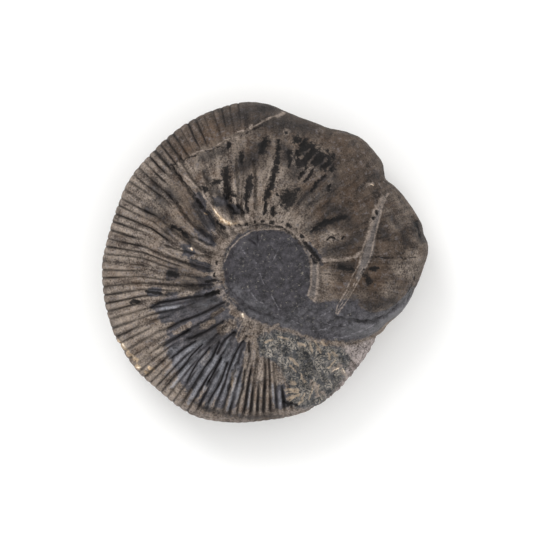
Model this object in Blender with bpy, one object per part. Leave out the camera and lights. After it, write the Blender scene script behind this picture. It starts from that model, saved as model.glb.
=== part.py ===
"""A shaligram stone: a river-worn ammonite in dark limestone, lying on its worn underside.

The shell's last whorl grows clockwise, seen from above. It starts as the ribbed flank at the lower right,
runs round the left side, and swells into the smooth body chamber on the right, whose rounded lip lies over
the place where it began. A plug of dark mudstone fills the umbilicus. All of it is one piece of stone.
+X is to the right, +Y to the top and +Z towards the viewer, and the stone rests on z = 0.
Lengths are in millimetres until the mesh is made, and angles are in degrees, anticlockwise from +X,
about the middle of the umbilicus.
"""

import bmesh
import bpy
import numpy as np
from mathutils import Vector, noise

MM = 0.001

# Heights above and below the shell's own middle plane
PLUG_HEIGHT = 17.3
PLUG_EDGE = (6.0, 19.0)
REST_DEPTH = 16.4

# How far the old, ribbed whorl reaches, as (angle, radius)
OLD_REACH = [
    (0, 34.0), (30, 34.0), (60, 38.0), (76, 44.4), (84, 47.2), (90, 49.0), (96, 49.9), (108, 49.7),
    (120, 49.3), (135, 48.8), (150, 48.9), (165, 48.6), (177, 49.5), (192, 49.8), (204, 50.1),
    (216, 49.7), (228, 49.1), (243, 49.5), (252, 48.4), (261, 46.9), (270, 45.7), (282, 44.9),
    (291, 43.8), (300, 42.3), (309, 40.8), (318, 39.6), (327, 38.7), (340, 36.5),
]
# How far the body chamber, its lip and, on the left, the umbilical plug reach
NEW_REACH = [
    (0, 46.9), (6, 48.8), (9, 48.9), (12, 48.2), (15, 48.3), (18, 47.8), (24, 46.9), (33, 45.4),
    (37, 44.4), (39, 45.2), (42, 46.6), (48, 47.5), (54, 48.0), (60, 47.3), (66, 46.1), (72, 45.9),
    (78, 46.1), (84, 47.2), (90, 46.5), (98, 30.0), (108, 12.8), (125, 13.2), (150, 13.9), (180, 14.3),
    (207, 14.8), (237, 15.4), (262, 16.5), (276, 18.2), (290, 20.6), (300, 23.8), (307, 27.6),
    (315, 32.2), (323, 36.0), (330, 39.2), (336, 40.3), (342, 42.5), (348, 44.1), (354, 45.4),
]
# Half thicknesses, as (angle, height)
OLD_HEIGHT = [
    (0, 13.0), (40, 14.0), (70, 17.6), (90, 18.5), (120, 18.2), (150, 17.9), (180, 17.5), (210, 17.1),
    (240, 16.7), (270, 16.0), (300, 15.3), (325, 14.8), (345, 13.6),
]
NEW_HEIGHT = [
    (0, 18.1), (40, 18.8), (70, 18.7), (90, 18.4), (120, 17.2), (180, 17.2), (240, 17.0), (270, 16.9),
    (300, 16.8), (320, 16.7), (340, 17.3),
]
# How boxy each section is, as (angle, exponent)
OLD_SECTION = [(0, 3.4), (60, 3.1), (120, 3.2), (180, 3.3), (225, 3.0), (255, 2.5), (285, 2.7), (325, 3.6)]
NEW_SECTION = [
    (0, 3.8), (45, 3.2), (90, 3.1), (120, 9.0), (180, 11.0), (240, 9.0), (270, 7.0), (310, 6.0), (335, 5.0),
]

# The umbilical wall, where the ribbed flank dips to the plug
WALL_FOOT = 13.0
WALL_TOP = 19.0
WALL_DROP = 0.12
JOIN_RADIUS = 0.7
JOIN_FADE = 4.0

# Grooves between the ribs, counted anticlockwise from where the ribbing ends at the top
FIRST_GROOVE = 97.2
GROOVE_STEP = 3.06
STEP_CHANGE = -0.0025
GROOVES = 80
GROOVE_DEPTH = 0.62
GROOVE_WIDTH = 0.52
GROOVE_START = (0.56, 0.68)
START_SPREAD = 0.09
ANGLE_SPREAD = 0.35
# Grooves that run right down to the umbilicus, and deepen towards it between these shares of the reach
DEEP_GROOVES = (0, 4, 10, 14, 19, 24, 30, 34, 38, 45, 48, 52, 57, 61, 66, 71)
DEEP_DEPTH = 1.35
DEEP_WIDTH = 1.15
DEEP_END = (0.38, 0.72)
DEEP_FOOT = (14.0, 17.5)
# How the ribs of the old whorl go under the newer one
OVERLAP = (-0.8, 0.2)
# The ribs are worn away at the bottom, between these angles, over the last share of the reach
WORN_START = (236, 250)
WORN_END = (288, 300)
WORN_RIM = (0.93, 0.975)
WORN_SHARE = 0.8
# Shallow folds that go on across the body chamber, past the last rib
FOLDS = (54, 70, 84)
FOLD_DEPTH = 0.55
FOLD_WIDTH = 1.6
FOLD_FOOT = (15.0, 20.0)
FOLD_END = (0.6, 0.85)
# Ribs lean back between these shares of the reach, most at the top and not at all by SWEEP_END
SWEEP_INNER = 0.34
SWEEP_OUTER = 0.76
SWEEP = 15.0
SWEEP_ONSET = 20
SWEEP_START = 90
SWEEP_END = 268
LAST_RIB = 330

# The broken edge of the outer shell layer, as (angle, radius): the layer is left on its outer side
SHELL_EDGE = [(84, 47.0), (88, 44.4), (96, 42.4), (104, 41.2), (116, 41.4), (126, 42.2), (133, 41.6)]
SHELL_LAYER = 0.45
SHELL_STEP = 0.4
SHELL_START = (82, 88)
SHELL_END = (131, 137)

# The calcite vein across the body chamber, the septum that meets it, and the plug's seam, as (x, y)
VEIN = [(36.5, 23.4), (33.0, 17.0), (31.5, 9.0), (29.5, 2.0), (27.0, -3.5), (24.0, -9.0), (20.9, -14.0)]
VEIN_RISE = 0.45
VEIN_WIDTH = 1.3
SEPTUM = [(16.0, 2.7), (20.0, 3.0), (23.5, 2.6), (27.5, 4.4)]
SEPTUM_RISE = 0.25
SEPTUM_WIDTH = 0.7
SEAM = [
    (-6.0, 13.4), (0.0, 13.3), (5.5, 12.4), (10.0, 9.4), (13.2, 5.0), (14.0, 0.0), (14.2, -5.0), (13.6, -9.3),
]
SEAM_DEPTH = 0.55
SEAM_WIDTH = 0.8

# River wear: broad swells, as a share of each point's distance from the middle
SWELL = 0.008
SWELL_SCALE = 0.09

COLUMNS_PER_RIB = 4
SMOOTH_COLUMNS = 64
ROWS = 76
TOP_ROWS = 42
TRIANGLES = 9500
STONE_COLOUR = (0.092, 0.080, 0.074)
STONE_ROUGHNESS = 0.6


def ease(low, high, value):
    """0 below low and 1 above high, with a smooth rise between them."""
    share = np.clip((value - low) / (high - low), 0, 1)
    return share * share * (3 - 2 * share)


def hump(distance, width):
    return np.exp(-((distance / width) ** 2))


def around(table, angle):
    """A smooth closed curve through a table of (angle, value), read at these angles."""
    knots = np.array([row[0] for row in table], float)
    knots = np.concatenate([knots - 360, knots, knots + 360])
    values = np.tile([float(row[1]) for row in table], 3)
    slopes = np.gradient(values, knots)
    angle = np.mod(angle, 360)
    i = np.searchsorted(knots, angle, side="right") - 1
    width = knots[i + 1] - knots[i]
    t = (angle - knots[i]) / width
    rise = values[i + 1] - values[i]
    bend = (1 - t) * (slopes[i] * width - rise) - t * (slopes[i + 1] * width - rise)
    return values[i] + t * rise + t * (1 - t) * bend


def section(share, exponent):
    return np.sqrt(1 - np.clip(share, 0, 1) ** exponent)


def reach(angle):
    """The stone's outline, seen from above."""
    return np.maximum(around(OLD_REACH, angle), around(NEW_REACH, angle))


def flank(angle, radius):
    """Height of the smooth flank over the middle plane, with no ribs on it."""
    old = around(OLD_HEIGHT, angle) * section(radius / around(OLD_REACH, angle), around(OLD_SECTION, angle))
    old = old * (1 - WALL_DROP * (1 - ease(WALL_FOOT, WALL_TOP, radius)))
    new = PLUG_HEIGHT + (around(NEW_HEIGHT, angle) - PLUG_HEIGHT) * ease(*PLUG_EDGE, radius)
    new = new * section(radius / around(NEW_REACH, angle), around(NEW_SECTION, angle))
    # Where the two whorls meet, the corner is filled, less and less towards the rim.
    fill = JOIN_RADIUS * ease(0, JOIN_FADE, np.maximum(old, new)) + 1e-6
    blend = np.clip(0.5 + 0.5 * (old - new) / fill, 0, 1)
    return new + (old - new) * blend + fill * blend * (1 - blend)


def swept(rim_angle, share):
    """The angle, at this share of the reach, of a rib that ends at rim_angle."""
    onset = ease(SWEEP_ONSET, SWEEP_START, np.where(rim_angle > LAST_RIB, rim_angle - 360, rim_angle))
    past = np.clip((rim_angle - SWEEP_START) / (SWEEP_END - SWEEP_START), 0, 1)
    sweep = SWEEP * onset * (1 - past ** 1.6)
    inner = np.clip((SWEEP_OUTER - share) / (SWEEP_OUTER - SWEEP_INNER), 0, 1) ** 1.25
    return rim_angle + sweep * (inner + 0.2 * (1 - share))


def groove_angle(count):
    return FIRST_GROOVE + GROOVE_STEP * count + STEP_CHANGE * count * count


def uneven(number):
    """A fixed small unevenness, from -1 to 1, for each numbered rib."""
    return np.sin(number * 12.9898 + 4.1)


def furrow(rim_angle, radius, grooves, width):
    """How far a point is into the nearest of these grooves, from 0 to 1, and that groove's number."""
    grooves = np.asarray(grooves)
    places = groove_angle(grooves) + ANGLE_SPREAD * uneven(grooves)
    nearest = np.searchsorted((places[1:] + places[:-1]) / 2, rim_angle)
    away = np.radians(rim_angle - places[nearest]) * radius
    return hump(away, width), grooves[nearest]


def ribbing(rim_angle, radius, share):
    """Depth of the grooves between the ribs of the old whorl."""
    fine, number = furrow(rim_angle, radius, range(GROOVES), GROOVE_WIDTH)
    lag = START_SPREAD * uneven(number * 3)
    fine = fine * GROOVE_DEPTH * ease(*GROOVE_START, share - lag)
    inner = 1 - ease(*DEEP_END, share)
    deep, _ = furrow(rim_angle, radius, DEEP_GROOVES, GROOVE_WIDTH + (DEEP_WIDTH - GROOVE_WIDTH) * inner)
    deep = deep * (GROOVE_DEPTH + (DEEP_DEPTH - GROOVE_DEPTH) * inner)
    return np.maximum(fine, deep * ease(*DEEP_FOOT, radius))


def folds(rim_angle, radius, share):
    """Depth of the shallow folds across the start of the body chamber."""
    depth = 0 * share
    for at in FOLDS:
        depth = np.maximum(depth, hump(np.radians(rim_angle - 360 - at) * radius, FOLD_WIDTH))
    return FOLD_DEPTH * depth * ease(*FOLD_FOOT, radius) * (1 - ease(*FOLD_END, share))


def from_line(x, y, points):
    """Distance from each point to a line through these points."""
    best = np.full(np.shape(x), np.inf)
    for (ax, ay), (bx, by) in zip(points, points[1:]):
        along = ((x - ax) * (bx - ax) + (y - ay) * (by - ay)) / ((bx - ax) ** 2 + (by - ay) ** 2)
        along = np.clip(along, 0, 1)
        best = np.minimum(best, np.hypot(x - ax - along * (bx - ax), y - ay - along * (by - ay)))
    return best


def marks(x, y):
    """How far the vein and the septum stand out, less how deep the plug's seam is."""
    rise = VEIN_RISE * hump(from_line(x, y, VEIN), VEIN_WIDTH)
    rise = rise + SEPTUM_RISE * hump(from_line(x, y, SEPTUM), SEPTUM_WIDTH)
    return rise - SEAM_DEPTH * hump(from_line(x, y, SEAM), SEAM_WIDTH)


def relief(rim_angle, angle, radius, share):
    """How far both flanks stand out from the smooth shape."""
    old_shows = ease(*OVERLAP, radius - around(NEW_REACH, angle))
    angle = np.mod(angle, 360)
    worn = ease(*WORN_START, angle) * (1 - ease(*WORN_END, angle)) * ease(*WORN_RIM, share)
    grooves = ribbing(rim_angle, radius, share) * old_shows * (1 - WORN_SHARE * worn)
    past_edge = radius - np.interp(angle, *zip(*SHELL_EDGE))
    layer = ease(*SHELL_START, angle) * (1 - ease(*SHELL_END, angle))
    layer = SHELL_LAYER * layer * ease(-SHELL_STEP, SHELL_STEP, past_edge)
    return layer - grooves - folds(rim_angle, radius, share)


def rim_columns():
    """Rim angles of the columns: a few to each rib, and wider apart across the smooth side."""
    ribbed = groove_angle(np.arange(0, GROOVES - 1, 1 / COLUMNS_PER_RIB))
    smooth = np.linspace(groove_angle(GROOVES - 1), FIRST_GROOVE + 360, SMOOTH_COLUMNS, endpoint=False)
    return np.concatenate([ribbed, smooth])


def row_shares(rim_angle, side_rows):
    """Shares of the reach that part each column's flank, from its middle to its rim, into equal steps."""
    share = np.sin(np.linspace(0, np.pi / 2, 4 * side_rows))[None, :]
    angle = swept(rim_angle[:, None], share)
    radius = share * reach(angle)
    run = np.hypot(np.diff(radius), np.diff(flank(angle, radius)))
    along = np.concatenate([np.zeros((len(run), 1)), np.cumsum(run, axis=1)], axis=1)
    steps = np.linspace(0, 1, side_rows + 1)
    return np.array([np.interp(steps, line / line[-1], share[0]) for line in along])


def side_points(rim_angle, side_rows, top):
    """Points of the upper or the lower flank, from its middle to its rim."""
    share = row_shares(rim_angle, side_rows)
    rim_angle = rim_angle[:, None] + 0 * share
    angle = swept(rim_angle, share)
    radius = share * reach(angle)
    x = radius * np.cos(np.radians(angle))
    y = radius * np.sin(np.radians(angle))
    flat = np.stack([x, y, flank(angle, radius)], axis=-1)
    normal = np.cross(np.gradient(flat, axis=1), np.roll(flat, -1, axis=0) - np.roll(flat, 1, axis=0))
    normal[:, -1, 2] = 0
    normal /= np.linalg.norm(normal, axis=-1, keepdims=True) + 1e-9
    rise = relief(rim_angle, angle, radius, share) + (marks(x, y) if top else 0)
    points = flat + normal * rise[..., None]
    return points if top else points * (1, 1, -1)


def stone_points():
    """Points of the whole surface as (columns, rows, 3), from the top's middle to the underside's."""
    columns = rim_columns()
    upper = side_points(columns, TOP_ROWS, True)
    lower = side_points(columns, ROWS - TOP_ROWS, False)
    return np.concatenate([upper, lower[:, -2::-1]], axis=1)


def make_stone():
    """A ball, each of whose points is moved to its place on the stone's surface."""
    points = stone_points()
    columns = len(points)
    form = bmesh.new()
    bmesh.ops.create_uvsphere(form, u_segments=columns, v_segments=ROWS, radius=1)
    for vertex in form.verts:
        row = round(np.arccos(np.clip(vertex.co.z, -1, 1)) / np.pi * ROWS)
        column = round(np.arctan2(vertex.co.y, vertex.co.x) / (2 * np.pi) * columns) % columns
        place = Vector(points[column, row])
        if row in (0, ROWS):
            place.xy = (0, 0)
        vertex.co = place * (1 + SWELL * noise.noise(place * SWELL_SCALE)) * MM
    bmesh.ops.recalc_face_normals(form, faces=form.faces)
    mesh = bpy.data.meshes.new("ammonite_stone")
    form.to_mesh(mesh)
    form.free()
    mesh.shade_smooth()
    stone = bpy.data.objects.new("ammonite_stone", mesh)
    bpy.context.scene.collection.objects.link(stone)
    stone.location.z = REST_DEPTH * MM
    return stone


def make_flat_cutter():
    """A block whose top is the level that the river has worn the underside to."""
    size = 120 * MM
    bpy.ops.mesh.primitive_cube_add(size=size, location=(0, 0, -size / 2))
    cutter = bpy.context.object
    cutter.name = "worn_flat_cutter"
    cutter.hide_render = True
    cutter.display_type = "WIRE"
    return cutter


def wear_underside(stone, cutter):
    """Merges the faces that the shape can do without, then takes off what lies below the resting face."""
    fewer = stone.modifiers.new("fewer_faces", "DECIMATE")
    fewer.ratio = TRIANGLES / sum(len(face.vertices) - 2 for face in stone.data.polygons)
    flat = stone.modifiers.new("worn_flat", "BOOLEAN")
    flat.operation = "DIFFERENCE"
    flat.object = cutter


def add_limestone(stone):
    limestone = bpy.data.materials.new("limestone")
    limestone.use_nodes = True
    shader = limestone.node_tree.nodes["Principled BSDF"]
    shader.inputs["Base Color"].default_value = (*STONE_COLOUR, 1)
    shader.inputs["Roughness"].default_value = STONE_ROUGHNESS
    stone.data.materials.append(limestone)


def main():
    for left_over in list(bpy.data.objects):
        bpy.data.objects.remove(left_over)
    stone = make_stone()
    wear_underside(stone, make_flat_cutter())
    add_limestone(stone)


main()
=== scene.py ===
"""The looks of the shaligram stone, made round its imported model.

The stone is one piece: a fine grid, rolled up into a closed skin whose points are moved to where the real
surface is, finely enough to hold the ribs, the vein, the chips and the worn edges. Places on the upper flank
are in pixels of the 533 x 533 photo, in which the stone is seen from straight above, at 0.3 mm to a pixel.
Other lengths are in millimetres, and angles are in degrees, anticlockwise from +X, about the middle of the
umbilicus. A share is a share of the reach, from the middle of the umbilicus to the rim.
"""

import bpy
import numpy as np
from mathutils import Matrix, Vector, noise


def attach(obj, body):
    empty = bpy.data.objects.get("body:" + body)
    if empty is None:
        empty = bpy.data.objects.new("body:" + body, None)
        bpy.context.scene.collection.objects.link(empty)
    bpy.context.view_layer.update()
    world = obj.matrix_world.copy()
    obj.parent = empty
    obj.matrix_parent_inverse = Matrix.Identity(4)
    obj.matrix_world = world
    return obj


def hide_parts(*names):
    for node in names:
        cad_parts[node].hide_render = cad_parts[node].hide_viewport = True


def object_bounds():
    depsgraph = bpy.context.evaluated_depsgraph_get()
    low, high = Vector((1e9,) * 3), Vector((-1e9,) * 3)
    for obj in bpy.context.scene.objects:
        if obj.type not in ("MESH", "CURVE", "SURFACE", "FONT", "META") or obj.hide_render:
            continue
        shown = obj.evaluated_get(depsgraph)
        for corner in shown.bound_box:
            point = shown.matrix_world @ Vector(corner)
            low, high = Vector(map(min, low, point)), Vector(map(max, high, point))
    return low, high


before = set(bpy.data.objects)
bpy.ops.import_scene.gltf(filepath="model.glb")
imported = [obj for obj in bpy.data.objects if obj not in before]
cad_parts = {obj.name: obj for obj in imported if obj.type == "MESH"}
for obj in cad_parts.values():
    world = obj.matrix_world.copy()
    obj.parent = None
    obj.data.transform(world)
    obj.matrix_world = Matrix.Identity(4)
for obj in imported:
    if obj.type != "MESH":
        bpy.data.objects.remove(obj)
cad_low, cad_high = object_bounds()

MM = 0.001
TINY = 1e-9

# The photo: millimetres to a pixel, pixels across, and the umbilicus in it
PIXEL = 0.3
FRAME = 533
UMBILICUS = (267, 268)

# Camera and light, in metres and watts
CAMERA_HEIGHT = 1.5
SENSOR_MM = 36.0
CAMERA_CLIP = (0.01, 10)
TENT_STRENGTH = 1.1
KEY_PLACE = (-0.45, 0.75, 1.0)
KEY_SIZE = 0.5
KEY_POWER = 4.5
FLOOR_SIZE = 6
CARD_COLOUR = "#fbfbfa"
CARD_ROUGHNESS = 0.9

# The form, as in the part's source: heights over and under the shell's middle plane, then (angle, radius),
# (angle, half thickness) and (angle, how boxy the section is) of the older and the newer whorl
PLUG_HEIGHT = 17.3
PLUG_EDGE = (6.0, 19.0)
REST_DEPTH = 16.4
OLD_REACH = [
    (0, 34.0), (30, 34.0), (60, 38.0), (76, 44.4), (84, 47.2), (90, 49.0), (96, 49.9), (108, 49.7),
    (120, 49.3), (135, 48.8), (150, 48.9), (165, 48.6), (177, 49.5), (192, 49.8), (204, 50.1),
    (216, 49.7), (228, 49.1), (243, 49.5), (252, 48.4), (261, 46.9), (270, 45.7), (282, 44.9),
    (291, 43.8), (300, 42.3), (309, 40.8), (318, 39.6), (327, 38.7), (340, 36.5),
]
NEW_REACH = [
    (0, 46.9), (6, 48.8), (9, 48.9), (12, 48.2), (15, 48.3), (18, 47.8), (24, 46.9), (33, 45.4),
    (37, 44.4), (39, 45.2), (42, 46.6), (48, 47.5), (54, 48.0), (60, 47.3), (66, 46.1), (72, 45.9),
    (78, 46.1), (84, 47.2), (90, 46.5), (98, 30.0), (108, 12.8), (125, 13.2), (150, 13.9), (180, 14.3),
    (207, 14.8), (237, 15.4), (262, 16.5), (276, 18.2), (290, 20.6), (300, 23.8), (307, 27.6),
    (315, 32.2), (323, 36.0), (330, 39.2), (336, 40.3), (342, 42.5), (348, 44.1), (354, 45.4),
]
OLD_HEIGHT = [
    (0, 13.0), (40, 14.0), (70, 17.6), (90, 18.5), (120, 18.2), (150, 17.9), (180, 17.5), (210, 17.1),
    (240, 16.7), (270, 16.0), (300, 15.3), (325, 14.8), (345, 13.6),
]
NEW_HEIGHT = [
    (0, 18.1), (40, 18.8), (70, 18.7), (90, 18.4), (120, 17.2), (180, 17.2), (240, 17.0), (270, 16.9),
    (300, 16.8), (320, 16.7), (340, 17.3),
]
OLD_SECTION = [(0, 3.4), (60, 3.1), (120, 3.2), (180, 3.3), (225, 3.0), (255, 2.5), (285, 2.7), (325, 3.6)]
NEW_SECTION = [
    (0, 3.8), (45, 3.2), (90, 3.1), (120, 9.0), (180, 11.0), (240, 9.0), (270, 7.0), (310, 6.0), (335, 5.0),
]
# The umbilical wall, where the ribbed flank dips to the plug
WALL_FOOT = 13.0
WALL_TOP = 19.0
WALL_DROP = 0.12
# How the corner between the two whorls is filled
JOIN_RADIUS = 0.7
JOIN_FADE = 4.0
LEAST_JOIN = 1e-6
# River wear: broad swells, as a share of each point's distance from the middle
SWELL = 0.008
SWELL_SCALE = 0.09
# The flat face underneath: how rough it is, and how far its edge is rounded
FLOOR_ROUGHNESS = 0.10
FLOOR_ROUND = 0.5

# The ribs, as in the part's source: the grooves between them are counted anticlockwise from the top
FIRST_GROOVE = 97.2
GROOVE_STEP = 3.06
STEP_CHANGE = -0.0025
GROOVES = 80
LAST_RIB = 330
ANGLE_SPREAD = 0.35
# Grooves that run right down to the umbilicus, and deepen towards it between these shares
DEEP_GROOVES = (0, 4, 10, 14, 19, 24, 30, 34, 38, 45, 48, 52, 57, 61, 66, 71)
DEEP_DEPTH = 1.35
DEEP_WIDTH = 1.15
DEEP_END = (0.38, 0.72)
DEEP_FOOT = (14.0, 17.5)
# How the ribs of the old whorl go under the newer one
OVERLAP = (-0.8, 0.2)
# Ribs lean back between these shares, most at the top and not at all by SWEEP_END
SWEEP_INNER = 0.34
SWEEP_OUTER = 0.76
SWEEP = 15.0
SWEEP_ONSET = 20
SWEEP_START = 90
SWEEP_END = 268
SWEEP_FADE = 1.6
SWEEP_BEND = 1.25
SWEEP_LEAN = 0.2

# Finer than in the source, as (angle, value): how wide, deep and dark the grooves are, and the share at which
# they start
GROOVE_WIDTH = [
    (97, 0.34), (125, 0.36), (165, 0.34), (235, 0.38), (247, 0.50), (284, 0.50), (292, 0.34), (330, 0.32),
]
GROOVE_DEPTH = [
    (97, 0.40), (125, 0.52), (150, 0.60), (200, 0.58), (235, 0.56), (247, 0.75), (284, 0.75), (292, 0.22),
]
# How dark the grooves are: dirt in them, and painted shade
GROOVE_DIRT_AND_SHADE = [
    (97, 0.66), (125, 0.72), (150, 0.70), (200, 0.58), (225, 0.54), (240, 0.68), (252, 0.82), (286, 0.84),
    (292, 0.30),
]
GROOVE_FOOT = [
    (97, 0.84), (115, 0.83), (130, 0.82), (145, 0.77), (160, 0.72), (172, 0.64), (190, 0.62), (205, 0.68),
    (220, 0.70), (240, 0.62), (262, 0.64), (284, 0.70), (292, 0.80), (312, 0.84), (330, 0.86),
]
# Each groove starts a little before or after that, but nearly evenly at the top
START_SPREAD = 0.13
START_SOFT = 0.06
UNEVEN_FROM = (130, 155)
UNEVEN_STARTS = (0.85, 0.15)
# How far a groove wanders in degrees, how its width changes, and how often it is broken
RIB_WANDER = 0.65
WIDTH_SPREAD = 0.3
BREAKS = 0.9
BREAK_RANGE = (0.1, 1.4)
# The deep grooves are worn where the slate folds end, and interrupted halfway out at the top
DEEP_WEAR = 0.8
FOLDS_END = (252, 266)
GAP_SHARE = 0.70
GAP_LENGTH = 0.15
GAP_END = (140, 158)
DEEP_DIRT_AND_SHADE = 2.5
# The first rib rises over this part of a groove step
FIRST_RISE = 0.3
FIRST_LEAD = 0.6
# Ribs worn away at the bottom of the rim, and those that the slate folds hide
WORN_START = (236, 250)
WORN_END = (288, 300)
WORN_RIM = (0.93, 0.975)
WORN_SHARE = 0.85
DRAPED_START = (200, 212)
DRAPED_END = (254, 262)
DRAPED_RIM = (0.60, 0.76)
DRAPED_SHARE = 0.8
# All ribs are lower on the rim itself
RIM_EDGE = (0.96, 1.0)
RIM_WEAR = 0.5

# The mesh
COLUMNS_PER_RIB = 8
SMOOTH_COLUMNS = 250
TOP_ROWS = 150
UNDER_ROWS = 90
FINER_STEPS = 3
TRIANGLES = 195000
MERGE_DISTANCE = 1e-7
BOX_MARGIN = 0.01
# The "way" attribute unrolls the flank, so that a pattern on it is drawn out five times along the ribs
WAY_RADIUS = 45
WAY_LENGTH = 50
WAY_STRETCH = 5

# Soft noise, as (size of its lumps in millimetres, seed, octaves)
SWELL_NOISE = (1 / SWELL_SCALE, 0, 1)
RIB_NOISE = (4.5, 1, 3)
BREAK_NOISE = (3.0, 2, 3)
STREAK_NOISE = (2.2, 3, 3)
LUMP_NOISE = (9.0, 4, 3)
GRAIN_NOISE = (1.6, 5, 3)
FINE_NOISE = (0.55, 6, 2)
RING_NOISE = (1.3, 7, 3)
FLOOR_NOISE = (6.0, 8, 2)
WIDTH_NOISE = (7.0, 9, 2)
WANDER_NOISES = [(1.5, 10, 3), (1.5, 11, 3)]
LAYER_NOISE = (2.5, 12, 3)
TIP_NOISE = (7.0, 13, 3)
SEED_STEP = 17.31
NOISE_FALL = 1.0
NOISE_STEP = 2.0
# How far, in pixels, the edges of the marks wander
WANDER = 1.6

# The marks of the upper flank fade out between these heights
UPPER_EDGE = (-6, 1)
# How soft the edges of the patches are, in pixels
PLUG_SOFT = 4
BEVEL_SOFT = 5
SUTURE_SOFT = 6
FAINT_GROOVE_SOFT = 8
FLAKED_SOFT = 6
SOOT_SOFT = 6
VEIN_SOFT = 3
SEAM_SOFT = 4
FOLD_SOFT = 7
SLATE_SOFT = 3
UMBER_SOFT = 14
WINDOW_SOFT = 5
# The end of the apron and of the bevel, worn ragged on the rim between these shares
TIP_EDGE = (0.96, 0.995)
TIP_RAGGED = (1.3, -0.9)
# A mark's strength and shift, which set how far its coat reaches
APRON_SHEEN = (0.25, -0.35)
PLUG_SHEEN = (0.8, -0.4)
RIDGE_REACH = (1.5, -0.5)
FLAKED_REACH = (0.6, -0.42)
SCRATCH_REACH = (1.4, -0.5)
SOOT_GAP_REACH = (-1.1, 0.1)
RING_REACH = (1.35, -1.2)
CRUST_LOSS = (-1.4, 0.6)
STRIP_REACH = (2.2, -1)
LAYER_STAIN = (1.9, -1)
# The suture zone, and what is left of the ribs in it
SUTURE_EDGE = (-1, 0.2)
SUTURE_WEAR = 0.85
# Grooves between the slate folds: the drawn line and the valley round it, in pixels and millimetres
LINE_MORE = 0.2
VALLEY_MORE = 3.2
LINE_DEPTH = 0.5
VALLEY_DEPTH = 0.45
LINE_DIRT_AND_SHADE = 0.85
LINE_EDGE = (0.2, 0.9)
FAINT_GROOVE_SHARE = 0.5
RIDGE_MORE = 1.0
RIDGE_DIRT_AND_SHADE = 1.2
# Shadow in the folds and valleys, weaker below this row of the photo
FOLD_SHADE = 1.1
VALLEY_SHADE = 0.8
LIT_ROWS = (340, 358)
LIT_SHARE = 0.7
SHADE_SHIFT = 0.9
PIT_EDGE = 1.2
SEAM_SHIFT = 0.3
# The crumbly ring of crust round the plug, between these radii
RING_START = (13.0, 14.2)
RING_END = (16.0, 18.0)
RING_OVERLAP = (-0.8, 0)
RING_GRAIN = 0.9
# The broken edge of the outer shell layer, as (angle, radius): the layer is left on its outer side
SHELL_EDGE = [
    (83, 47.0), (88, 45.3), (94, 43.3), (97, 42.3), (101, 41.3), (107, 40.7), (113, 40.6), (119, 41.0),
    (124, 41.9), (128, 42.1), (130, 41.1), (133, 41.6),
]
SHELL_START = (80, 86)
SHELL_END = (129, 137)
SHELL_STEP = 0.4
SHELL_RAGGED = 0.7
# The crust: how noise breaks it up, its grain in the suture zone, and what is left of it underneath
CRUST_EDGE = (-0.7, 0.7)
CRUST_STREAKS = 0.5
CRUST_LUMPS = 0.4
SUTURE_CRUST = (0.5, -0.7)
UNDER_CRUST = 0.3
UNDER_LUMPS = 0.8
UNDER_STREAKS = 0.3
FLAT_WEAR = 1.2
FLAT_EDGE = 1.2
# Stains and shade: painted shade in the umber coat along the lip's rim, the bleached lower right, and the
# yellow band at the lower left
UMBER_STREAKS = 0.2
RIM_SHADE = 1.2
RIM_SHADE_EDGE = (0.94, 1)
RIM_SHADE_ANGLE = 62
RIM_SHADE_WIDTH = 50
BLEACHED_START = (284, 300)
BLEACHED_END = (325, 330)
BLEACHED_RADIUS = (26, 40)
PALE_RIM = 0.2
PALE_RIM_START = (225, 245)
PALE_RIM_END = (300, 320)
PALE_RIM_EDGE = (0.94, 0.98)
BLEACHED_SUTURE = 0.5
YELLOW_START = (188, 205)
YELLOW_END = (232, 245)
YELLOW_EDGE = (0.72, 0.9)
SHADE_RIBS = 0.6
SHADE_LUMPS = 0.5
SHADE_YELLOW = 0.9
SHADE_RANGE = (-1, 1.3)

# How far each thing stands out or is sunk, in millimetres
SHELL_LAYER = 0.32
LUMP_RISE = 0.14
GRAIN_RISE = 0.09
FINE_RISE = 0.05
PLUG_GRAIN = 0.02
PLUG_SMOOTH = 0.8
RING_RISE = (0.30, 0.1)
CRUST_RISE = 0.12
CRUST_GRAIN = 0.3
CRUST_FULL = 0.5
CRUMBLED_RISE = 0.35
CRUMBLED_START = (284, 292)
CRUMBLED_END = (322, 330)
CRUMBLED_RIM = (0.93, 0.98)
FOLD_SINK = 0.6
LEAF_RISE = 0.15
SUTURE_GRAIN = 0.06
SOOT_SINK = 0.35
CRACK_SINK = 0.4
CHIP_SINK = 0.55
VEIN_RISE = 0.25
VEIN_FULL = 0.6
PALE_RISE = 0.15
# A hollow is judged against the mean of this many columns and rows to each side, and by this depth
HOLLOW_REACH = (7, 4)
HOLLOW_DEPTH = 0.3


def ease(low, high, value):
    """0 below low and 1 above high, with a smooth rise between them."""
    share = np.clip((value - low) / (high - low), 0, 1)
    return share * share * (3 - 2 * share)


def window(start, end, value):
    """1 between two soft ends, each of them a (low, high), and 0 outside them."""
    return ease(*start, value) * (1 - ease(*end, value))


def hump(distance, width):
    return np.exp(-((distance / width) ** 2))


def scaled(field, strength, shift):
    return strength * field + shift


def table_at(table, value):
    """A table of (place, value), read at these places with straight lines between its rows."""
    return np.interp(value, *zip(*table))


def around(table, angle):
    """A smooth closed curve through a table of (angle, value), read at these angles."""
    knots = np.array([row[0] for row in table], float)
    knots = np.concatenate([knots - 360, knots, knots + 360])
    values = np.tile([float(row[1]) for row in table], 3)
    slopes = np.gradient(values, knots)
    angle = np.mod(angle, 360)
    i = np.searchsorted(knots, angle, side="right") - 1
    width = knots[i + 1] - knots[i]
    t = (angle - knots[i]) / width
    rise = values[i + 1] - values[i]
    bend = (1 - t) * (slopes[i] * width - rise) - t * (slopes[i + 1] * width - rise)
    return values[i] + t * rise + t * (1 - t) * bend


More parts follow.
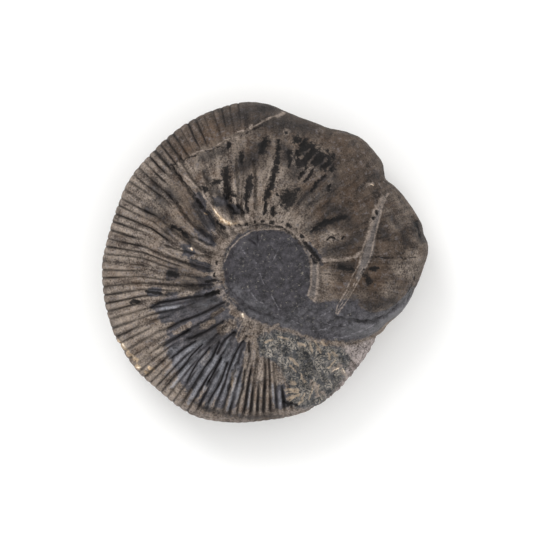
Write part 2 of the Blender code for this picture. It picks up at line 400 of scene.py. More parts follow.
def larger(a, b, fill):
    """The larger of two heights, with the corner between them filled to this radius."""
    blend = np.clip(0.5 + 0.5 * (a - b) / fill, 0, 1)
    return b + (a - b) * blend + fill * blend * (1 - blend)


def section(share, exponent):
    return np.sqrt(1 - np.clip(share, 0, 1) ** exponent)


def reach(angle):
    """The stone's outline, seen from above."""
    return np.maximum(around(OLD_REACH, angle), around(NEW_REACH, angle))


def flank(angle, radius):
    """Height of the smooth flank over the middle plane, with no ribs on it."""
    old = around(OLD_HEIGHT, angle) * section(radius / around(OLD_REACH, angle), around(OLD_SECTION, angle))
    old = old * (1 - WALL_DROP * (1 - ease(WALL_FOOT, WALL_TOP, radius)))
    new = PLUG_HEIGHT + (around(NEW_HEIGHT, angle) - PLUG_HEIGHT) * ease(*PLUG_EDGE, radius)
    new = new * section(radius / around(NEW_REACH, angle), around(NEW_SECTION, angle))
    return larger(old, new, JOIN_RADIUS * ease(0, JOIN_FADE, np.maximum(old, new)) + LEAST_JOIN)


def swept(rim_angle, share):
    """The angle, at this share of the reach, of a rib that ends at rim_angle."""
    turn = np.where(rim_angle > LAST_RIB, rim_angle - 360, rim_angle)
    past = np.clip((turn - SWEEP_START) / (SWEEP_END - SWEEP_START), 0, 1)
    sweep = SWEEP * ease(SWEEP_ONSET, SWEEP_START, turn) * (1 - past ** SWEEP_FADE)
    inner = np.clip((SWEEP_OUTER - share) / (SWEEP_OUTER - SWEEP_INNER), 0, 1) ** SWEEP_BEND
    return rim_angle + sweep * (inner + SWEEP_LEAN * (1 - share))


def groove_angle(count):
    return FIRST_GROOVE + GROOVE_STEP * count + STEP_CHANGE * count * count


def uneven(number):
    """A fixed small unevenness, from -1 to 1, for each numbered rib."""
    return np.sin(number * 12.9898 + 4.1)


def cloud(points, size, seed, octaves):
    """Soft noise from about -1 to 1 at these points, with lumps of this size."""
    places = (points.reshape(-1, 3) / size + SEED_STEP * seed).tolist()
    values = np.array([noise.fractal(place, NOISE_FALL, NOISE_STEP, octaves) for place in places])
    return values.reshape(points.shape[:-1])


class Surface:
    """Every point of the stone's smooth form, in columns along the ribs and rows from top to underside."""

    def __init__(self):
        columns = rim_columns()
        top = row_shares(columns, TOP_ROWS)
        under = row_shares(columns, UNDER_ROWS)
        self.share = np.concatenate([top, under[:, -2::-1]], axis=1)
        self.side = np.where(np.arange(self.share.shape[1]) <= TOP_ROWS, 1, -1)[None, :]
        self.rim = columns[:, None] + 0 * self.share
        self.angle = np.mod(swept(self.rim, self.share), 360)
        self.radius = self.share * reach(self.angle)
        x = self.radius * np.cos(np.radians(self.angle))
        y = self.radius * np.sin(np.radians(self.angle))
        self.height = flank(self.angle, self.radius) * self.side
        self.points = np.stack([x, y, self.height], axis=-1)
        self.upper = ease(*UPPER_EDGE, self.height)
        self.past_new = self.radius - around(NEW_REACH, self.angle)
        # Where the camera sees each point, in the photo's pixels, and the same places gone a little astray
        seen = CAMERA_HEIGHT / (CAMERA_HEIGHT - self.height * MM)
        px = FRAME / 2 + (UMBILICUS[0] - FRAME / 2 + x / PIXEL) * seen
        py = FRAME / 2 + (UMBILICUS[1] - FRAME / 2 - y / PIXEL) * seen
        self.steady = px, py
        self.astray = [
            seen_at + WANDER * cloud(self.points, *drift)
            for seen_at, drift in zip(self.steady, WANDER_NOISES)
        ]
        turn = np.radians(self.rim)
        along = WAY_LENGTH * self.share * self.side / WAY_STRETCH
        self.way = np.stack([WAY_RADIUS * np.cos(turn), WAY_RADIUS * np.sin(turn), along], axis=-1)

    def normals(self):
        down = np.gradient(self.points, axis=1)
        across = np.roll(self.points, -1, axis=0) - np.roll(self.points, 1, axis=0)
        normal = np.cross(down, across)
        return normal / (np.linalg.norm(normal, axis=-1, keepdims=True) + TINY)


def rim_columns():
    """Rim angles of the columns: several to each rib, and wider apart across the smooth side."""
    ribbed = groove_angle(np.arange(0, GROOVES - 1, 1 / COLUMNS_PER_RIB))
    smooth = np.linspace(groove_angle(GROOVES - 1), FIRST_GROOVE + 360, SMOOTH_COLUMNS, endpoint=False)
    return np.concatenate([ribbed, smooth])


def row_shares(rim_angle, rows):
    """Shares of the reach that part each column's flank, from its middle to its rim, into equal steps."""
    share = np.sin(np.linspace(0, np.pi / 2, FINER_STEPS * rows))[None, :]
    angle = swept(rim_angle[:, None], share)
    radius = share * reach(angle)
    run = np.hypot(np.diff(radius), np.diff(flank(angle, radius)))
    along = np.concatenate([np.zeros((len(run), 1)), np.cumsum(run, axis=1)], axis=1)
    steps = np.linspace(0, 1, rows + 1)
    return np.array([np.interp(steps, line / line[-1], share[0]) for line in along])


# Marks on the upper flank, in pixels of the photo. A stroke is (half width, points).
# The grey mudstone plug, the apron that runs from it to the lip, and the apron's lighter bevel
PLUG_DISC = [
    (222, 268), (226, 248), (238, 234), (254, 229), (270, 229), (287, 232), (300, 243), (308, 256),
    (311, 270), (311, 285), (308, 297), (300, 308), (285, 314), (262, 314), (243, 309), (229, 296),
]
APRON = [
    (226, 300), (240, 305), (262, 312), (285, 312), (302, 303), (308, 296), (316, 303), (330, 301),
    (346, 299), (356, 300), (362, 309), (376, 313), (392, 308), (404, 298), (413, 285), (429, 283),
    (422, 296), (410, 308), (394, 323), (380, 331), (365, 338), (345, 342), (320, 340), (305, 335),
    (290, 329), (270, 326), (250, 319), (235, 310),
]
BEVEL = [
    (342, 330), (352, 322), (365, 324), (385, 317), (400, 307), (411, 291), (428, 286), (422, 296),
    (410, 308), (394, 323), (380, 331), (365, 338), (350, 341), (338, 340),
]
# Where the tan crust is worn off to the slate-grey stone
SLATE_FOLDS = [
    (150, 305), (170, 296), (200, 290), (222, 280), (229, 300), (232, 316), (246, 330), (248, 350),
    (246, 372), (240, 392), (236, 412), (205, 405), (182, 388), (172, 366), (165, 348), (168, 332),
    (158, 316),
]
SLATE_PATCHES = [
    [(193, 194), (203, 192), (206, 204), (202, 212), (195, 208)],
    [(200, 213), (209, 211), (215, 222), (214, 232), (204, 229)],
    [(194, 228), (206, 231), (219, 245), (215, 250), (199, 240)],
    [(181, 244), (190, 243), (195, 254), (189, 260), (182, 255)],
    [(188, 258), (205, 262), (216, 267), (210, 273), (190, 268)],
    [(195, 279), (217, 277), (218, 284), (198, 289)],
    [(165, 270), (177, 268), (179, 279), (168, 281)],
    [(147, 288), (161, 288), (161, 296), (148, 297)],
    [(213, 198), (226, 197), (228, 206), (216, 206)],
    [(228, 205), (238, 204), (243, 211), (235, 215)],
    [(303, 244), (309, 243), (323, 257), (323, 265), (312, 263)],
    [(338, 260), (357, 261), (355, 269), (340, 267)],
    [(276, 386), (284, 384), (289, 394), (291, 406), (274, 410)],
    [(364, 174), (376, 170), (385, 176), (380, 184), (368, 181)],
]
# Crust that is left on the slate-grey folds
TAN_ISLANDS = [
    (5.2, [(221, 330), (232, 325)]),
    (2.8, [(245, 328), (240, 339)]),
    (3.8, [(255, 330), (256, 354)]),
    (2.7, [(247, 357), (244, 382)]),
    (2.0, [(235, 372), (233, 385), (229, 395)]),
    (1.8, [(228, 398), (226, 410)]),
    (2.0, [(254, 364), (254, 412)]),
    (2.3, [(260, 361), (260, 410)]),
    (3.4, [(266, 352), (266, 378)]),
    (2.1, [(266, 378), (267, 411)]),
    (2.6, [(273, 358), (277, 383)]),
    (2.2, [(284, 364), (286, 384)]),
    (1.4, [(241, 394), (239, 410)]),
    (3.0, [(203, 364), (206, 359)]),
    (1.5, [(207, 358), (209, 352)]),
    (2.4, [(213, 316), (222, 310)]),
    (3.2, [(203, 327), (212, 322)]),
    (3.5, [(181, 296), (192, 292)]),
    (2.4, [(190, 324), (175, 333)]),
    (2.2, [(230, 313), (244, 318), (258, 322)]),
    (3.0, [(172, 324), (164, 328)]),
    (1.9, [(205, 388), (200, 397)]),
    (1.7, [(215, 399), (211, 406)]),
    (1.6, [(191, 391), (185, 399)]),
    (1.5, [(204, 403), (202, 408)]),
]
# Dark brown stains on the crust
UMBER_ZONES = [
    [
        (262, 108), (300, 114), (338, 124), (368, 142), (386, 172), (396, 196), (414, 222), (426, 252),
        (418, 286), (400, 306), (372, 312), (356, 298), (320, 300), (318, 262), (334, 250), (312, 224),
        (296, 208), (292, 180), (330, 172), (318, 147), (302, 140), (286, 138), (262, 138),
    ],
    [(170, 130), (230, 96), (262, 90), (300, 96), (304, 126), (276, 119), (248, 130), (216, 143), (184, 158)],
    [(236, 148), (262, 138), (290, 142), (286, 160), (270, 156), (258, 174), (242, 174)],
    [(172, 172), (182, 178), (200, 210), (204, 228), (190, 226), (176, 198)],
    [(162, 222), (176, 224), (186, 236), (174, 240)],
    [(168, 266), (196, 270), (196, 280), (170, 280)],
]
# Black crust, in strokes along the ribs and in patches
SOOT_STROKES = [
    (2.6, [(279, 141), (277, 163)]),
    (3.3, [(276, 168), (266, 199)]),
    (1.6, [(266, 199), (265, 213)]),
    (4.0, [(226, 170), (227, 198)]),
    (1.2, [(229, 142), (228, 148)]),
    (3.2, [(250, 177), (246, 197)]),
    (1.5, [(246, 197), (247, 212)]),
    (3.4, [(266, 139), (262, 152)]),
    (2.2, [(241, 153), (242, 162)]),
    (3.6, [(214, 184), (218, 182)]),
    (2.4, [(204, 188), (206, 191)]),
    (2.4, [(197, 200), (202, 207)]),
    (1.8, [(232, 195), (235, 196)]),
    (1.4, [(229, 206), (233, 210)]),
    (1.3, [(236, 205), (240, 208)]),
    (1.5, [(233, 213), (238, 214)]),
    (1.2, [(242, 210), (244, 214)]),
    (1.5, [(217, 221), (224, 229)]),
    (3.2, [(314, 230), (324, 223), (334, 220), (344, 216)]),
    (2.4, [(290, 152), (290, 166)]),
    (3.4, [(296, 140), (304, 142)]),
    (6.0, [(305, 147), (316, 153)]),
    (6.4, [(311, 156), (326, 162)]),
    (4.6, [(299, 156), (307, 164)]),
    (2.2, [(322, 166), (332, 168)]),
    (2.6, [(298, 152), (299, 166)]),
    (2.4, [(327, 151), (333, 157)]),
    (1.7, [(307, 166), (299, 178)]),
    (1.4, [(315, 169), (305, 181)]),
    (1.3, [(326, 174), (318, 182)]),
    (1.6, [(317, 183), (312, 191)]),
    (1.6, [(330, 184), (328, 190)]),
    (1.4, [(328, 239), (331, 236), (335, 238)]),
    (1.2, [(342, 239), (346, 237)]),
    (2.5, [(340, 267), (353, 270)]),
    (3.4, [(366, 275), (370, 283)]),
    (2.2, [(371, 269), (378, 269)]),
    (1.8, [(416, 222), (421, 236)]),
    (1.7, [(170, 226), (179, 229), (187, 237)]),
    (2.6, [(168, 273), (176, 276)]),
    (1.8, [(147, 292), (160, 294)]),
    (1.8, [(132, 302), (138, 302)]),
    (2.6, [(273, 209), (273, 214)]),
    (1.2, [(376, 211), (376, 215)]),
    (1.1, [(373, 218), (373, 220)]),
    (2.2, [(304, 243), (312, 252), (320, 260)]),
    (1.6, [(311, 256), (316, 263)]),
    (1.6, [(216, 280), (205, 282)]),
    (2.2, [(218, 292), (206, 296)]),
    (1.8, [(284, 404), (296, 405)]),
]
SOOT_PATCHES = [
    [
        (294, 137), (304, 136), (316, 145), (330, 154), (336, 169), (326, 171), (314, 166), (303, 163),
        (304, 153), (297, 149),
    ],
    [(281, 190), (292, 189), (300, 186), (297, 200), (287, 211), (280, 203)],
]
# Tan streaks that break the black patch
SOOT_GAPS = [
    (1.5, [(309, 149), (301, 158)]),
    (1.3, [(318, 152), (308, 164)]),
    (1.3, [(327, 158), (316, 170)]),
    (1.2, [(334, 163), (325, 172)]),
    (1.2, [(298, 144), (294, 151)]),
    (1.0, [(303, 138), (300, 143)]),
    (1.0, [(322, 149), (328, 153)]),
]
# Soft dark smears, some of them painted shade: soft bands of shadow along folds and edges
SMEARS_AND_SHADE = [
    (3.0, [(299, 203), (320, 184), (332, 172)]),
    (2.4, [(306, 207), (322, 196)]),
    (4.0, [(324, 190), (336, 183)]),
    (2.4, [(329, 196), (328, 214)]),
    (5.6, [(312, 231), (326, 224), (346, 217)]),
    (4.6, [(326, 252), (344, 247), (360, 237)]),
    (3.6, [(379, 228), (387, 236)]),
    (4.0, [(418, 226), (423, 240)]),
    (6.0, [(352, 300), (372, 306), (394, 302)]),
    (5.5, [(312, 155), (302, 165), (294, 174)]),
    (4.0, [(333, 166), (336, 180), (330, 194)]),
    (7.0, [(304, 150), (322, 162)]),
    (4.0, [(214, 203), (228, 208), (242, 214)]),
    (5.0, [(196, 206), (204, 222)]),
    (3.0, [(178, 228), (190, 240)]),
    (4.0, [(166, 232), (172, 228)]),
    (6.0, [(286, 150), (292, 168)]),
    (4.0, [(340, 266), (352, 268)]),
    (3.0, [(238, 158), (244, 170)]),
    (3.0, [(205, 170), (208, 182)]),
    (2.6, [(192, 278), (208, 281)]),
    (4.0, [(196, 298), (216, 300)]),
    (4.0, [(168, 190), (176, 200)]),
    (2.0, [(192, 401), (206, 409), (226, 415), (250, 418), (280, 416)]),
    (7.0, [(228, 122), (250, 113), (276, 106)]),
    (7.0, [(240, 168), (250, 160), (262, 146)]),
    (5.0, [(330, 208), (344, 214), (352, 224)]),
    (3.4, [(392, 216), (402, 232), (406, 244)]),
    (4.0, [(190, 306), (206, 308), (218, 308)]),
    (8.0, [(200, 336), (214, 334)]),
    (4.5, [(202, 158), (214, 154), (226, 150)]),
    (4.0, [(184, 284), (198, 290)]),
    (3.0, [(226, 236), (238, 227), (252, 224), (268, 224), (284, 227), (296, 235), (304, 246)]),
    (9.0, [(256, 124), (282, 122), (306, 128)]),
    (5.0, [(154, 186), (162, 202)]),
    (5.0, [(146, 210), (162, 218)]),
    (4.0, [(212, 190), (222, 196)]),
]
# Dark ovals with a pale edge in the crust round the plug
CRUST_PITS = [
    (1.7, [(271, 222), (273, 222)]), (1.4, [(281, 222), (282, 222)]), (1.9, [(288, 225), (290, 226)]),
    (1.5, [(296, 230), (297, 231)]), (1.7, [(301, 235), (303, 237)]), (1.5, [(261, 221), (263, 221)]),
    (1.3, [(254, 222), (255, 222)]), (1.4, [(245, 224), (247, 224)]), (1.2, [(306, 243), (307, 245)]),
    (1.4, [(216, 262), (216, 264)]), (1.3, [(214, 274), (214, 276)]), (1.2, [(218, 292), (219, 294)]),
    (1.5, [(286, 131), (286, 133)]), (1.3, [(276, 193), (277, 195)]),
]
# Where the dark brown of the upper right lets the tan crust through
TAN_WINDOWS = [
    [(312, 242), (317, 232), (330, 229), (343, 232), (342, 240), (328, 245), (314, 246)],
    [(300, 206), (318, 190), (332, 178), (338, 182), (322, 198), (304, 212)],
    [(341, 300), (350, 290), (356, 298), (352, 308), (342, 311)],
    [(321, 272), (330, 269), (336, 280), (330, 294), (321, 294)],
    [(384, 205), (398, 212), (404, 232), (392, 230)],
    [(408, 250), (422, 248), (422, 262), (406, 262)],
    [(392, 263), (420, 260), (421, 270), (412, 279), (396, 275)],
    [(381, 287), (392, 283), (399, 287), (396, 296), (384, 297)],
]
# Pale calcite: the vein's walls, the septum, the plug's seam and the broken shell's edge
CALCITE_LINES = [
    (1.9, [(383, 197), (374, 212), (371, 225), (366, 240)]),
    (0.9, [(366, 240), (362, 252), (360, 264)]),
    (0.6, [(360, 264), (353, 276), (347, 290), (338, 305), (336, 314)]),
    (0.4, [(363, 268), (355, 283), (344, 300), (338, 311)]),
    (0.9, [(389, 193), (382, 206), (379, 220), (374, 240), (372, 250)]),
    (0.6, [(372, 250), (369, 262), (362, 276), (353, 291), (345, 304), (338, 314)]),
    (1.6, [(322, 260), (333, 260), (345, 260), (355, 257), (362, 252)]),
    (1.1, [(213, 207), (222, 215), (232, 222), (240, 223), (252, 220), (262, 221), (283, 225)]),
    (1.2, [(283, 225), (296, 234), (304, 245), (311, 254), (318, 262)]),
    (1.0, [(312, 254), (311, 270), (311, 285), (308, 295)]),
    (1.3, [(318, 263), (318, 280), (317, 295), (314, 301)]),
    (0.9, [(285, 113), (272, 117), (262, 122)]),
    (0.7, [(262, 122), (251, 129), (238, 133)]),
    (0.6, [(238, 137), (226, 140), (216, 146)]),
    (0.6, [(212, 149), (200, 151), (190, 155)]),
    (0.7, [(224, 262), (230, 248), (240, 238), (252, 231), (265, 229), (283, 229)]),
    (0.7, [(248, 326), (244, 340), (238, 343), (236, 337), (241, 325)]),
    (0.6, [(217, 333), (227, 332), (236, 326)]),
    (0.8, [(185, 176), (197, 187), (206, 199), (212, 207)]),
    (0.7, [(188, 248), (193, 249)]),
]
CALCITE_SPOTS = [
    (1.6, [(242, 314), (244, 315)]),
    (1.8, [(368, 184), (373, 184)]),
    (2.0, [(332, 370), (341, 366)]),
    (2.0, [(316, 386), (318, 396)]),
    (1.8, [(342, 370), (345, 375)]),
    (1.6, [(312, 380), (311, 386)]),
    (1.4, [(322, 392), (326, 396)]),
    (1.5, [(277, 116), (282, 114)]),
    (1.5, [(249, 129), (252, 127)]),
    (1.6, [(274, 327), (278, 325)]),
]
# The brightest glints of calcite
GLINTS = [
    (0.5, [(214, 209), (217, 214), (221, 218)]),
    (1.1, [(221, 219), (226, 222), (231, 224)]),
    (0.8, [(191, 248), (192, 250)]),
    (0.9, [(242, 315), (243, 317)]),
    (0.8, [(121, 345), (123, 348)]),
    (0.9, [(131, 357), (134, 360)]),
    (0.7, [(138, 367), (140, 368)]),
    (0.6, [(333, 371), (339, 368)]),
    (0.5, [(343, 369), (345, 373)]),
    (0.5, [(371, 184), (374, 185)]),
]
# Warm ochre spots
OCHRE_SPOTS = [
    (1.7, [(214, 209), (219, 216), (224, 221)]),
    (2.2, [(222, 220), (231, 224), (240, 223)]),
    (1.6, [(120, 345), (124, 350)]),
    (2.0, [(130, 356), (136, 361)]),
    (1.4, [(137, 366), (139, 368)]),
    (1.3, [(149, 367), (152, 371)]),
    (1.2, [(127, 352), (128, 354)]),
    (1.0, [(118, 341), (119, 343)]),
    (1.0, [(144, 372), (146, 374)]),
    (0.9, [(287, 389), (298, 392)]),
    (0.9, [(288, 400), (298, 396)]),
    (1.2, [(233, 374), (231, 386)]),
    (0.8, [(204, 213), (207, 214)]),
]
# Cracks, and the dark lines beside the seam and under the lip
CRACKS = [
    (0.7, [(262, 125), (250, 131), (240, 136)]),
    (0.7, [(222, 146), (214, 149), (205, 151)]),
    (0.8, [(196, 154), (187, 158), (182, 160)]),
    (1.1, [(182, 154), (176, 162), (170, 165)]),
    (0.9, [(172, 166), (176, 172), (181, 178), (188, 187), (195, 195)]),
    (0.7, [(179, 160), (181, 157), (183, 161)]),
    (0.7, [(372, 257), (390, 258), (415, 258)]),
    (0.9, [(236, 226), (246, 225), (262, 224), (283, 228), (295, 238), (303, 248)]),
    (1.2, [(345, 316), (360, 321), (375, 322), (385, 317)]),
    (0.9, [(320, 328), (330, 322), (338, 319)]),
    (0.8, [(394, 312), (408, 294), (416, 276)]),
]
# The grey fill between the vein's two walls, which stands a little proud
VEIN = [
    (388, 192), (384, 205), (381, 215), (376, 234), (373, 256), (366, 270), (359, 282), (356, 278),
    (359, 268), (361, 261), (366, 243), (370, 228), (375, 212), (382, 199),
]
# The septum's end, between the plug and the body chamber
SEAM = [(310, 254), (320, 260), (321, 280), (318, 300), (307, 298), (310, 280)]
# Leaves of the ammonite's suture that stand out; the first stroke is instead the bright core of the gold
# glint by the umbilicus, a painted highlight
LEAF_STROKES = [
    (0.7, [(215, 212), (219, 216), (225, 221), (231, 224)]),
    (0.9, [(284, 390), (298, 390)]),
    (0.9, [(287, 394), (299, 391)]),
    (1.0, [(287, 399), (300, 394)]),
    (0.8, [(289, 402), (299, 397)]),
    (1.4, [(291, 382), (296, 384)]),
    (1.1, [(290, 358), (298, 365)]),
    (1.0, [(290, 366), (297, 372)]),
    (1.0, [(301, 375), (305, 383)]),
    (1.4, [(298, 344), (304, 346)]),
    (1.0, [(310, 343), (312, 351)]),
    (1.0, [(315, 341), (318, 347)]),
    (1.3, [(318, 347), (320, 353)]),
    (1.4, [(329, 353), (330, 358)]),
    (1.3, [(333, 353), (336, 356)]),
    (1.0, [(328, 368), (336, 361)]),
    (0.9, [(315, 383), (309, 400)]),
    (0.8, [(318, 385), (319, 396)]),
    (1.0, [(305, 394), (302, 400)]),
    (1.1, [(298, 404), (303, 402)]),
    (1.0, [(265, 343), (272, 340)]),
    (1.0, [(279, 337), (288, 339)]),
    (1.0, [(322, 342), (327, 346)]),
]
# Soft folds between the merging ribs of the lower left, and the two grooves of the upper left
FOLDS = [
    (3.4, [(216, 301), (196, 304), (172, 312)]),
    (3.4, [(221, 312), (200, 324), (178, 336)]),
    (3.2, [(226, 327), (208, 344), (190, 364)]),
    (3.0, [(236, 334), (220, 358), (208, 384)]),
    (2.8, [(244, 344), (236, 366), (228, 390)]),
    (3.2, [(210, 287), (186, 289), (160, 296)]),
    (2.4, [(172, 166), (183, 183), (195, 199), (208, 214)]),
    (1.8, [(179, 160), (190, 176), (201, 191)]),
    (2.6, [(206, 236), (190, 222), (176, 204)]),
    (2.6, [(212, 246), (194, 238), (172, 228)]),
    (2.2, [(212, 258), (192, 254), (166, 246)]),
    (2.4, [(256, 210), (255, 180), (254, 160)]),
    (2.4, [(238, 208), (238, 184), (236, 160)]),
    (2.2, [(214, 208), (210, 190), (203, 172)]),
    (3.4, [(336, 317), (352, 321), (371, 322), (388, 315), (404, 303), (415, 288)]),
]
# Where the river has roughened the slate folds to a lighter grey
FLAKED = [
    (164, 344), (188, 350), (210, 352), (236, 354), (242, 376), (238, 398), (222, 404), (196, 390),
    (172, 370),
]
# Where the shell is worn down to its leafy suture lines
SUTURE_ZONE = [
    (260, 338), (275, 333), (292, 336), (312, 343), (332, 348), (344, 352), (349, 360), (343, 376),
    (333, 390), (320, 402), (306, 407), (296, 406), (291, 400), (291, 386), (282, 364), (262, 354),
]
# Ribs beside the suture with little dirt and painted shade between them
FAINT_GROOVE_RIBS = [(256, 346), (284, 354), (292, 386), (260, 388)]
# The clean tan strip under the lip
STRIP = [
    (4.6, [(262, 321), (278, 327), (296, 332), (312, 339), (326, 344)]),
]
# Grooves between the slate folds, which bend and run together
FOLD_GROOVES = [
    (1.7, [(225, 302), (208, 311), (197, 316), (180, 322), (167, 329)]),
    (1.9, [(220, 292), (210, 296), (190, 298), (173, 301), (159, 303), (150, 308)]),
    (1.9, [(223, 322), (208, 331), (195, 337), (188, 340)]),
    (1.2, [(188, 331), (177, 338), (162, 347)]),
    (1.1, [(195, 342), (184, 349), (171, 359)]),
    (1.2, [(202, 345), (191, 356), (183, 367), (169, 382)]),
    (1.4, [(209, 349), (197, 363), (190, 375), (186, 384)]),
    (1.5, [(219, 343), (212, 358), (201, 373), (194, 384)]),
    (1.9, [(234, 333), (225, 340), (221, 346), (217, 355)]),
    (1.3, [(221, 359), (215, 371), (206, 387)]),
    (1.5, [(227, 364), (221, 382), (217, 389), (208, 404)]),
    (1.7, [(246, 337), (237, 351), (232, 362), (228, 372), (224, 387), (219, 398)]),
    (1.4, [(249, 344), (249, 353)]),
    (1.6, [(245, 371), (243, 389), (237, 407)]),
]
# Where the plug and the apron are painted a little lighter grey, which also lifts the painted shade that the
# hollows put at the plug's edge
SHEENS = [
    (10.0, [(234, 290), (246, 302), (264, 309)]),
    (8.0, [(248, 312), (272, 320), (296, 326)]),
]
# Hairline scratches on the plug and the lip
SCRATCHES = [
    (0.8, [(256, 262), (260, 274), (264, 285)]),
    (0.8, [(271, 295), (279, 310)]),
    (0.7, [(240, 246), (247, 258)]),
    (0.7, [(283, 243), (276, 254), (272, 262)]),
    (0.7, [(262, 238), (258, 246)]),
    (0.8, [(249, 290), (256, 300), (266, 305)]),
    (0.7, [(291, 262), (300, 270)]),
    (0.9, [(310, 331), (322, 330), (332, 327)]),
    (0.9, [(333, 338), (342, 338), (350, 336)]),
    (0.8, [(316, 318), (330, 312)]),
    (0.8, [(352, 334), (362, 331), (374, 325)]),
    (0.7, [(322, 322), (334, 326), (348, 325)]),
    (0.7, [(286, 318), (300, 324)]),
]
# Painted highlights on the backs of the slate folds, where the light catches them
RIDGE_HIGHLIGHTS = [
    (2.2, [(216, 357), (205, 388)]),
    (2.2, [(223, 361), (214, 393)]),
    (2.0, [(228, 343), (225, 352)]),
    (2.2, [(237, 350), (232, 368)]),
    (2.4, [(207, 366), (194, 384)]),
    (2.2, [(192, 361), (178, 376)]),
    (3.0, [(205, 338), (188, 351)]),
    (2.6, [(214, 333), (200, 346)]),
    (2.6, [(178, 307), (162, 308)]),
    (2.6, [(194, 306), (206, 306)]),
    (2.2, [(208, 300), (216, 302)]),
    (2.2, [(224, 372), (218, 398)]),
    (1.8, [(240, 384), (237, 406)]),
    (1.8, [(249, 386), (247, 408)]),
    (1.8, [(273, 386), (274, 402)]),
    (1.6, [(281, 392), (281, 404)]),
    (2.0, [(216, 392), (207, 408)]),
    (2.0, [(232, 396), (228, 411)]),
    (1.8, [(196, 395), (189, 403)]),
    (2.0, [(182, 376), (172, 388)]),
    (1.8, [(178, 364), (166, 376)]),
    (2.0, [(201, 382), (190, 398)]),
]
# Small chips off the rim
CHIPS = [
    (3.0, [(119, 344), (123, 350)]),
    (3.4, [(131, 358), (136, 362)]),
    (3.0, [(141, 369), (147, 374)]),
    (2.6, [(170, 390), (176, 394)]),
    (2.4, [(412, 216), (416, 222)]),
]


def from_line(x, y, points):
    """Distance from each point to a line through these points."""
    best = np.full(np.shape(x), np.inf)
    for (ax, ay), (bx, by) in zip(points, points[1:]):
        along = ((x - ax) * (bx - ax) + (y - ay) * (by - ay)) / ((bx - ax) ** 2 + (by - ay) ** 2)
        along = np.clip(along, 0, 1)
        best = np.minimum(best, np.hypot(x - ax - along * (bx - ax), y - ay - along * (by - ay)))
    return best


def on_strokes(places, strokes):
    """1 in the middle of a stroke, 0 at its edge and -1 one half width outside it."""
    x, y = places
    best = np.full(x.shape, -1.0)
    for half, points in strokes:
        xs, ys = zip(*points)
        near = (x > min(xs) - 2 * half) & (x < max(xs) + 2 * half)
        near &= (y > min(ys) - 2 * half) & (y < max(ys) + 2 * half)
        best[near] = np.maximum(best[near], 1 - from_line(x[near], y[near], points) / half)
    return best


def wider(strokes, more):
    return [(half + more, points) for half, points in strokes]


def in_patch(places, corners, soft):
    """Distance inside a patch's edge, as a share of soft, from -1 outside it to 1 well inside it."""
    x, y = places
    inside = np.zeros(x.shape, bool)
    for (ax, ay), (bx, by) in zip(corners, corners[1:] + corners[:1]):
        crosses = (ay > y) != (by > y)
        inside ^= crosses & (x < (bx - ax) * (y - ay) / (by - ay + TINY) + ax)
    away = from_line(x, y, corners + corners[:1])
    return np.clip(np.where(inside, away, -away) / soft, -1, 1)


def in_patches(places, patches, soft):
    best = np.full(places[0].shape, -1.0)
    for corners in patches:
        best = np.maximum(best, in_patch(places, corners, soft))
    return best


def only_near(mask):
    """Lowers a mask of strokes out of reach of ragged edges wherever it is far from them."""
    return np.where(mask < -0.97, -2.0, mask)


def inside(mask):
    """0 outside a mark and at its edge, and 1 in its middle."""
    return np.clip(mask, 0, 1)


def furrow(rim_angle, radius, grooves, width):
    """How far a point is into the nearest of these grooves, from 0 to 1, and that groove's number."""
    grooves = np.asarray(grooves)
    places = groove_angle(grooves) + ANGLE_SPREAD * uneven(grooves)
    nearest = np.searchsorted((places[1:] + places[:-1]) / 2, rim_angle)
    away = np.radians(rim_angle - places[nearest]) * radius
    return hump(away, width), grooves[nearest]


def deep_grooves(surface, rim, width, inner):
    """How far a point is into the nearest groove that runs down to the umbilicus."""
    s = surface
    deep, _ = furrow(rim, s.radius, DEEP_GROOVES, width + (DEEP_WIDTH - width) * inner)
    deep = deep * ease(*DEEP_FOOT, s.radius) * (1 - DEEP_WEAR * inner * ease(*FOLDS_END, s.angle))
    return deep * (1 - DEEP_WEAR * hump(s.share - GAP_SHARE, GAP_LENGTH) * (1 - ease(*GAP_END, s.angle)))


def ribs_shown(surface):
    """How clearly the ribs show: less where they are worn, covered or hidden, and not on the smooth side."""
    s = surface
    ribbed = ease(GROOVE_STEP * FIRST_RISE, GROOVE_STEP, s.rim - FIRST_GROOVE + GROOVE_STEP * FIRST_LEAD)
    ribbed = ribbed * (s.rim < groove_angle(GROOVES - 0.5))
    worn = window(WORN_START, WORN_END, s.angle) * ease(*WORN_RIM, s.share) * (s.side > 0)
    shown = ease(*OVERLAP, s.past_new) * (1 - WORN_SHARE * worn) * ribbed
    draped = window(DRAPED_START, DRAPED_END, s.angle) * (1 - ease(*DRAPED_RIM, s.share)) * (s.side > 0)
    return shown * (1 - DRAPED_SHARE * draped)


